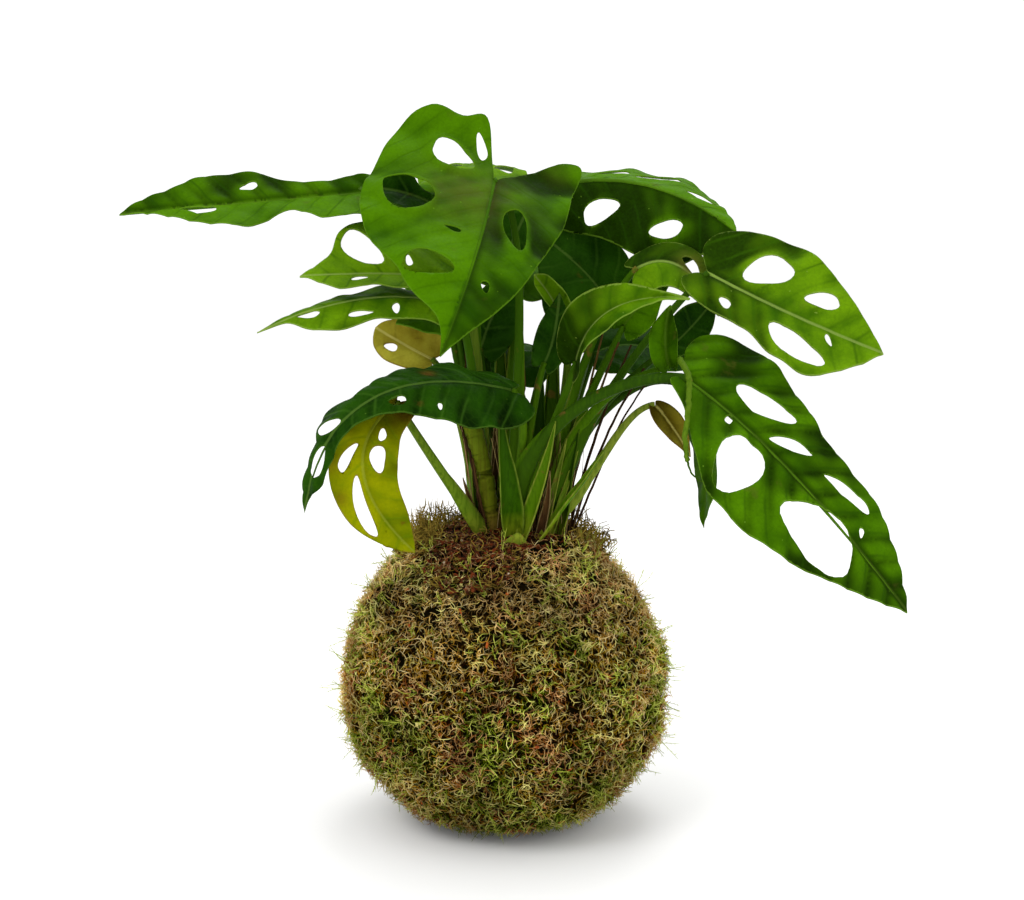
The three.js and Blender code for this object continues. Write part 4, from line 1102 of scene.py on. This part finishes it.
strandMake = {
    "patches": 5200,
    "kinds": 14,              # different patches of each colour
    "strands": 9,             # in a patch
    "patchRadius": 4.2,
    "length": (3, 7),
    "radius": (0.2, 0.13),
    "turn": 0.6,              # how sharply a strand curls at each step
    "steps": 3,
    "sideLeaf": (1.1, 2.2),
    "sideLift": (0, 0.9),
    "sideRadius": (0.17, 0.1),
    "lift": (-0.2, 0.75),     # how steeply strands leave the mat
    "depth": (-4.2, -2.2),    # mm from the ball's outside to where strands start
    "lit": (-4.0, -0.2),      # mm: darkest down there, palest up here
    "hollows": 0.3,           # noise level over which the moss is thin and dark
    "missing": (0.75, 0.6),   # share of patches left out, on the bare spot and in hollows
    "colours": {"brown": 0.38, "green": 0.26, "straw": -0.16},    # noise levels that each grows past
    "floor": 0.35,            # mm that every strand stays above the ground
    "fullest": 100000,        # points that one piece may hold before the next is begun
    "seed": 11,
}

tuftMake = {
    # Stems bent in steps, from their foot up, and side leaves at shares of the stem, which shorten by
    # taper. Fronds are feathery, wisps stand clear of the ball, curls stand or lie at the soil's rim.
    "fronds": {
        "seed": "frond{}", "stems": 3, "spread": 1, "foot": -3, "length": (4, 7.5), "lift": (0.5, 1.2),
        "radius": (0.2, 0.12), "turn": 0.25, "steps": 4, "leaves": [0.25 + 0.7 * i / 8 for i in range(9)],
        "leafLength": 1.76, "taper": 1.6, "leafLift": (0.1, 0.8), "leafRadius": (0.15, 0.07),
    },
    "wisps": {
        "seed": "wisp{}", "stems": 3, "spread": 1, "foot": -3, "length": (6, 12), "lift": (0.9, 1.5),
        "radius": (0.16, 0.1), "turn": 0.16, "steps": 6, "leaves": [i / 6 for i in range(1, 6)],
        "leafLength": 1.4, "taper": 0, "leafLift": (0.3, 1), "leafRadius": (0.12, 0.07),
    },
    "standing": {
        "seed": "loop{}0.7", "stems": 6, "spread": 3, "foot": -2.5, "length": (9, 17), "lift": (0.7, 1.5),
        "radius": (0.24, 0.17), "turn": 0.75, "steps": 9, "leaves": (),
    },
}
tuftMake["lying"] = {**tuftMake["standing"], "seed": "loop{}0.0", "lift": (0.0, 0.45)}
tuftKinds = 8                 # different tufts of each sort
tuftSites = {
    # how many, and where the spiral starts; fronds grow where noise passes a level, wisps over a height
    "fronds": (620, 1.3), "frondLevel": 0.05, "wisps": (210, 0.4), "wispHeight": 20,
}
rimMake = {
    # standing curls towards an angle in degrees, none in front of a line; lying ones out to the edge
    "tufts": 260, "towards": 170, "scatter": 95, "radius": (29, 44), "front": -18,
    "lying": 130, "lyingInside": 17, "lyingSize": 0.75, "lyingBare": 0.6,
}
# Where the moss is thin and the soil shows, and how far and wide the soil is strewn there
bareSpot = {"place": (-12, -33, 118), "size": 20, "strewn": 17, "wide": 1.2}


def addStrand(bm, chance, start, length, lift, radius, turn, steps):
    heading = chance.uniform(0, 2 * math.pi)
    curl = chance.choice((-1, 1)) * turn
    points = [Vector(start)]
    for i in range(steps):
        heading += curl + chance.uniform(-1, 1) * turn
        lift += chance.uniform(-0.9, 0.5) * turn
        level = math.cos(lift)
        way = Vector((math.cos(heading) * level, math.sin(heading) * level, math.sin(lift)))
        points.append(points[-1] + way * (length / steps))
    thick, thin = radius
    widths = [thick + (thin - thick) * i / steps for i in range(steps + 1)]
    widths[-1] *= 0.4
    sweepBar(bm, stationsAlong(points, widths), 3, tint=chance.random())
    return points


def patchMesh(bm):
    reach = bm.verts.layers.float["reach"]
    deepest, clear = strandMake["lit"]
    for vert in bm.verts:
        vert[reach] = (vert.co.z / mm - deepest) / (clear - deepest)
    return meshFrom(bm, "patch")


def strandPatch(kind, index):
    chance = random.Random(f"{kind}{index}{strandMake['seed']}")
    bm = newMesh("reach", "tint")
    for i in range(strandMake["strands"]):
        away = strandMake["patchRadius"] * math.sqrt(chance.random())
        angle = chance.uniform(0, 2 * math.pi)
        start = (away * math.cos(angle), away * math.sin(angle), chance.uniform(*strandMake["depth"]))
        length, lift = chance.uniform(*strandMake["length"]), chance.uniform(*strandMake["lift"])
        stem = addStrand(bm, chance, start, length, lift, strandMake["radius"], strandMake["turn"],
                         strandMake["steps"])
        length, lift = chance.uniform(*strandMake["sideLeaf"]), chance.uniform(*strandMake["sideLift"])
        addStrand(bm, chance, stem[2], length, lift, strandMake["sideRadius"], 0.1, 1)
    return patchMesh(bm)


def tuftPatch(plan, index):
    chance = random.Random(plan["seed"].format(index))
    bm = newMesh("reach", "tint")
    spread, steps = plan["spread"], plan["steps"]
    for i in range(plan["stems"]):
        start = (chance.uniform(-spread, spread), chance.uniform(-spread, spread), plan["foot"])
        length, lift = chance.uniform(*plan["length"]), chance.uniform(*plan["lift"])
        stem = addStrand(bm, chance, start, length, lift, plan["radius"], plan["turn"], steps)
        for share in plan["leaves"]:
            low = min(int(share * steps), steps - 1)
            root = stem[low].lerp(stem[low + 1], share * steps - low)
            length, lift = plan["leafLength"] - plan["taper"] * share, chance.uniform(*plan["leafLift"])
            addStrand(bm, chance, root, length, lift, plan["leafRadius"], 0.1, 1)
    return patchMesh(bm)


def ballSites(count, turnBy=0.0):
    # Even places on the ball's outside, each with the way it faces
    side = splineThrough(ballMake["profile"], 12)
    spans = [0.0]
    for (r1, z1), (r2, z2) in zip(side, side[1:]):
        spans.append(spans[-1] + (r1 + r2) / 2 * math.hypot(r2 - r1, z2 - z1))
    sites = []
    k = 0
    for i in range(count):
        wanted = (i + 0.5) / count * spans[-1]
        while spans[k + 1] < wanted:
            k += 1
        (r1, z1), (r2, z2) = side[k], side[k + 1]
        share = (wanted - spans[k]) / (spans[k + 1] - spans[k])
        height = z1 + (z2 - z1) * share
        angle = i * math.pi * (3 - math.sqrt(5)) + turnBy
        radius = r1 + (r2 - r1) * share + lumpAt(angle, height)
        run = math.hypot(r2 - r1, z2 - z1)
        across, down = (z2 - z1) / run, (r2 - r1) / run
        outward = Vector((across * math.cos(angle), across * math.sin(angle), -down))
        sites.append((Vector((radius * math.cos(angle), radius * math.sin(angle), height)), outward))
    return sites


def bareness(spot):
    away = (spot - Vector(bareSpot["place"])).length / bareSpot["size"]
    return max(0.0, 1 - away * away)


def colourAt(spot, chance):
    # Which moss grows at a place: green and straw in drifts, brown here and there
    drift = rough(spot, (15, 1), (6, 0.5)) + chance.uniform(-0.35, 0.35)
    drift += (62 - spot.z) / 220       # greener below, drier above
    dry = noise.noise(spot / 12 + Vector((40, 7, 3))) + chance.uniform(-0.25, 0.25)
    levels = strandMake["colours"]
    if dry > levels["brown"] - 0.5 * bareness(spot):
        return "brown"
    if drift > levels["green"]:
        return "green"
    return "straw" if drift < levels["straw"] else "olive"


def turnTo(outward, spin):
    return outward.to_track_quat("Z", "Y").to_matrix().to_4x4() @ Matrix.Rotation(spin, 4, "Z")


def plant(bm, patches, spot, outward, chance, size=1.0):
    patch = chance.choice(patches).copy()
    turn = Matrix.Translation(spot * mm) @ turnTo(outward, chance.uniform(0, 2 * math.pi))
    patch.transform(turn @ Matrix.Scale(size * chance.uniform(0.85, 1.15), 4))
    bm.from_mesh(patch)
    bpy.data.meshes.remove(patch)


def finishStrands(bm, name, kind):
    for vert in bm.verts:
        vert.co.z = max(vert.co.z, strandMake["floor"] * mm)
    finishPiece(bm, name, mossFinishes[kind], ["moss_skin"])


def strewPlace(chance, bare):
    # A place on the soil, or on the bare shoulder in front of it
    angle = chance.uniform(0, 2 * math.pi)
    if bare:
        x0, y0 = bareSpot["place"][:2]
        away = bareSpot["strewn"] * math.sqrt(chance.random())
        return x0 + away * bareSpot["wide"] * math.cos(angle), y0 + away * math.sin(angle)
    away = (ballMake["soilRadius"] + 2) * math.sqrt(chance.random())
    return away * math.cos(angle), away * math.sin(angle)


def makeStrands():
    chance = random.Random(strandMake["seed"])
    kinds = ("olive", "straw", "green", "brown")
    patches = {kind: [strandPatch(kind, i) for i in range(strandMake["kinds"])] for kind in kinds}
    patches.update({kind: [tuftPatch(plan, i) for i in range(tuftKinds)] for kind, plan in tuftMake.items()})
    grown = {kind: [bmesh.new()] for kind in kinds}
    for spot, outward in ballSites(strandMake["patches"]):
        hollow = noise.noise(spot / 9 + Vector((3, 50, 8))) > strandMake["hollows"]
        bare, low = strandMake["missing"]
        if chance.random() < max(bare * bareness(spot), low * hollow):
            continue
        kind = colourAt(spot, chance)
        if len(grown[kind][-1].verts) > strandMake["fullest"]:
            grown[kind].append(bmesh.new())
        plant(grown[kind][-1], patches[kind], spot, outward, chance)
    for kind, meshes in grown.items():
        for index, bm in enumerate(meshes):
            finishStrands(bm, f"moss_{kind}_{index + 1}", kind)

    tufts = bmesh.new()
    for spot, outward in ballSites(*tuftSites["fronds"]):
        if rough(spot, (15, 1), (6, 0.5)) > tuftSites["frondLevel"] and bareness(spot) == 0:
            plant(tufts, patches["fronds"], spot, outward, chance)
    for spot, outward in ballSites(*tuftSites["wisps"]):
        if spot.z > tuftSites["wispHeight"]:
            plant(tufts, patches["wisps"], spot, outward, chance)
    finishStrands(tufts, "moss_fronds", "fronds")

    curls = bmesh.new()
    for i in range(rimMake["tufts"]):
        angle = math.radians(chance.gauss(rimMake["towards"], rimMake["scatter"]))
        away = chance.uniform(*rimMake["radius"])
        x, y = away * math.cos(angle), away * math.sin(angle)
        if y > rimMake["front"]:
            plant(curls, patches["standing"], Vector((x, y, topHeight(x, y))), Vector((0, 0, 1)), chance)
    for i in range(rimMake["lying"]):
        x, y = strewPlace(chance, chance.random() < rimMake["lyingBare"])
        if math.hypot(x, y) > rimMake["lyingInside"]:
            spot = Vector((x, y, topHeight(x, y) + 1))
            plant(curls, patches["lying"], spot, Vector((0, -0.3, 1)), chance, rimMake["lyingSize"])
    finishStrands(curls, "moss_curls", "curls")
    for mesh in [mesh for group in patches.values() for mesh in group]:
        bpy.data.meshes.remove(mesh)


makeMat()
makeStrands()
print("moss made")


# Soil at the top, with bark, crumbs, grit and pale roots, and flakes caught in the moss

soilTones = {"deep": (20, 8, 3), "loam": (66, 34, 16), "bark": (124, 58, 26), "rust": (176, 84, 34),
             "root": (168, 138, 96), "grit": (214, 206, 190)}

chipPlans = {
    # count, length, breadth and thickness in mm, share on the bare shoulder, lift in mm, smooth or not
    "soil_bark": ("loam", "bark", 700, (1.4, 4.6), (0.8, 1.8), (0.4, 0.9), 0.4, (-0.4, 0.8), False),
    "soil_crumbs": ("deep", "loam", 420, (1, 2.2), (1, 2), (0.8, 1.6), 0.45, (-0.5, 0.5), True),
    "soil_grit": ("root", "grit", 9, (1, 1.8), (0.9, 1.5), (0.8, 1.3), 0.5, (0.2, 0.7), True),
}
soilMake = {
    "seed": 3,
    "segments": 72,
    "rings": 40,
    "underside": 112,         # mm over the ground
    "roots": 90,
    "rootPoints": 11,
    "rootStep": 1.6,
    "rootReach": 44,          # mm from the middle, where roots turn back
    "rootRadius": (0.14, 0.32),
    "flecks": 150,
    "fleckStart": 2.1,        # where their spiral starts
    "fleckSize": ((1.2, 3.4), (0.8, 1.6), (0.3, 0.6)),
    "fleckDepth": (-2, -0.9),
}


def soilFinish(name, low, high, fine=420):
    tree = Tree(name)
    coarse = tree.speckle(fine, 5)
    shade = tree.mix(tree.ease(coarse, 0.38, 0.66), soilTones[low], soilTones[high])
    height = tree.total((coarse, 1), (tree.speckle(1500, 3), 0.4))
    return tree.finish(shade, 0.8, 0.06, (height, 1.0, 0.0015))


def makeSoil():
    bm = bmesh.new()
    bmesh.ops.create_uvsphere(bm, u_segments=soilMake["segments"], v_segments=soilMake["rings"], radius=1)
    for vert in bm.verts:
        x, y = vert.co.x * ballMake["soilRadius"], vert.co.y * ballMake["soilRadius"]
        grain = noise.noise(Vector((x, y, 0)) / 3.2) * 1.1 + noise.noise(Vector((x, y, 5)) / 1.4) * 0.5
        top = topHeight(x * 0.99, y * 0.99) - 0.6 + grain
        vert.co = Vector((x, y, top if vert.co.z > 0 else soilMake["underside"] + vert.co.z * 4)) * mm
    finishPiece(bm, "soil_surface", soilFinish("soil_loam", "deep", "loam"), ["soil_ball"])


def addChip(bm, place, turn, sizes):
    matrix = Matrix.Translation(place * mm) @ turn @ Matrix.Diagonal((*sizes, 1))
    bmesh.ops.create_icosphere(bm, subdivisions=1, radius=0.5 * mm, matrix=matrix)


def strewChips(name, low, high, count, length, breadth, thick, share, lift, smooth):
    chance = random.Random(f"{name}{soilMake['seed']}")
    bm = bmesh.new()
    for i in range(count):
        x, y = strewPlace(chance, chance.random() < share)
        place = Vector((x, y, topHeight(x, y) + chance.uniform(*lift)))
        tilt = Matrix.Rotation(chance.uniform(-0.8, 0.8), 4, "X")
        tilt = tilt @ Matrix.Rotation(chance.uniform(-0.8, 0.8), 4, "Y")
        turn = Matrix.Rotation(chance.uniform(0, 6.28), 4, "Z") @ tilt
        addChip(bm, place, turn, [chance.uniform(*span) for span in (length, breadth, thick)])
    finishPiece(bm, name, soilFinish(name, low, high), ["soil_ball"], smooth)


def makeRoots():
    chance = random.Random(soilMake["seed"])
    bm = bmesh.new()
    for i in range(soilMake["roots"]):
        x, y = strewPlace(chance, chance.random() < 0.5)
        heading = chance.uniform(0, 2 * math.pi)
        points = []
        for step in range(soilMake["rootPoints"]):
            points.append(Vector((x, y, topHeight(x, y) + chance.uniform(0.1, 0.9))))
            heading += chance.uniform(-0.6, 0.6) + (2 if math.hypot(x, y) > soilMake["rootReach"] else 0)
            x += soilMake["rootStep"] * math.cos(heading)
            y += soilMake["rootStep"] * math.sin(heading)
        thick = chance.uniform(*soilMake["rootRadius"])
        widths = [thick * (1 - 0.06 * step) for step in range(len(points))]
        sweepBar(bm, stationsAlong(points, widths), 5)
    finishPiece(bm, "soil_roots", soilFinish("soil_root", "bark", "root", 900), ["soil_ball"])


def makeFlecks():
    # Rusty flakes of bark and dead leaf caught in the moss
    chance = random.Random(soilMake["seed"])
    bm = bmesh.new()
    for spot, outward in ballSites(soilMake["flecks"], soilMake["fleckStart"]):
        turn = turnTo(outward, chance.uniform(0, 6.28)) @ Matrix.Rotation(chance.uniform(-0.7, 0.7), 4, "X")
        sizes = [chance.uniform(*span) for span in soilMake["fleckSize"]]
        addChip(bm, spot + outward * chance.uniform(*soilMake["fleckDepth"]), turn, sizes)
    finishPiece(bm, "moss_flecks", soilFinish("moss_fleck", "bark", "rust"), ["moss_skin"], False)


makeFlecks()
makeSoil()
for chipName, chipPlan in chipPlans.items():
    strewChips(chipName, *chipPlan)
makeRoots()
print("soil made")
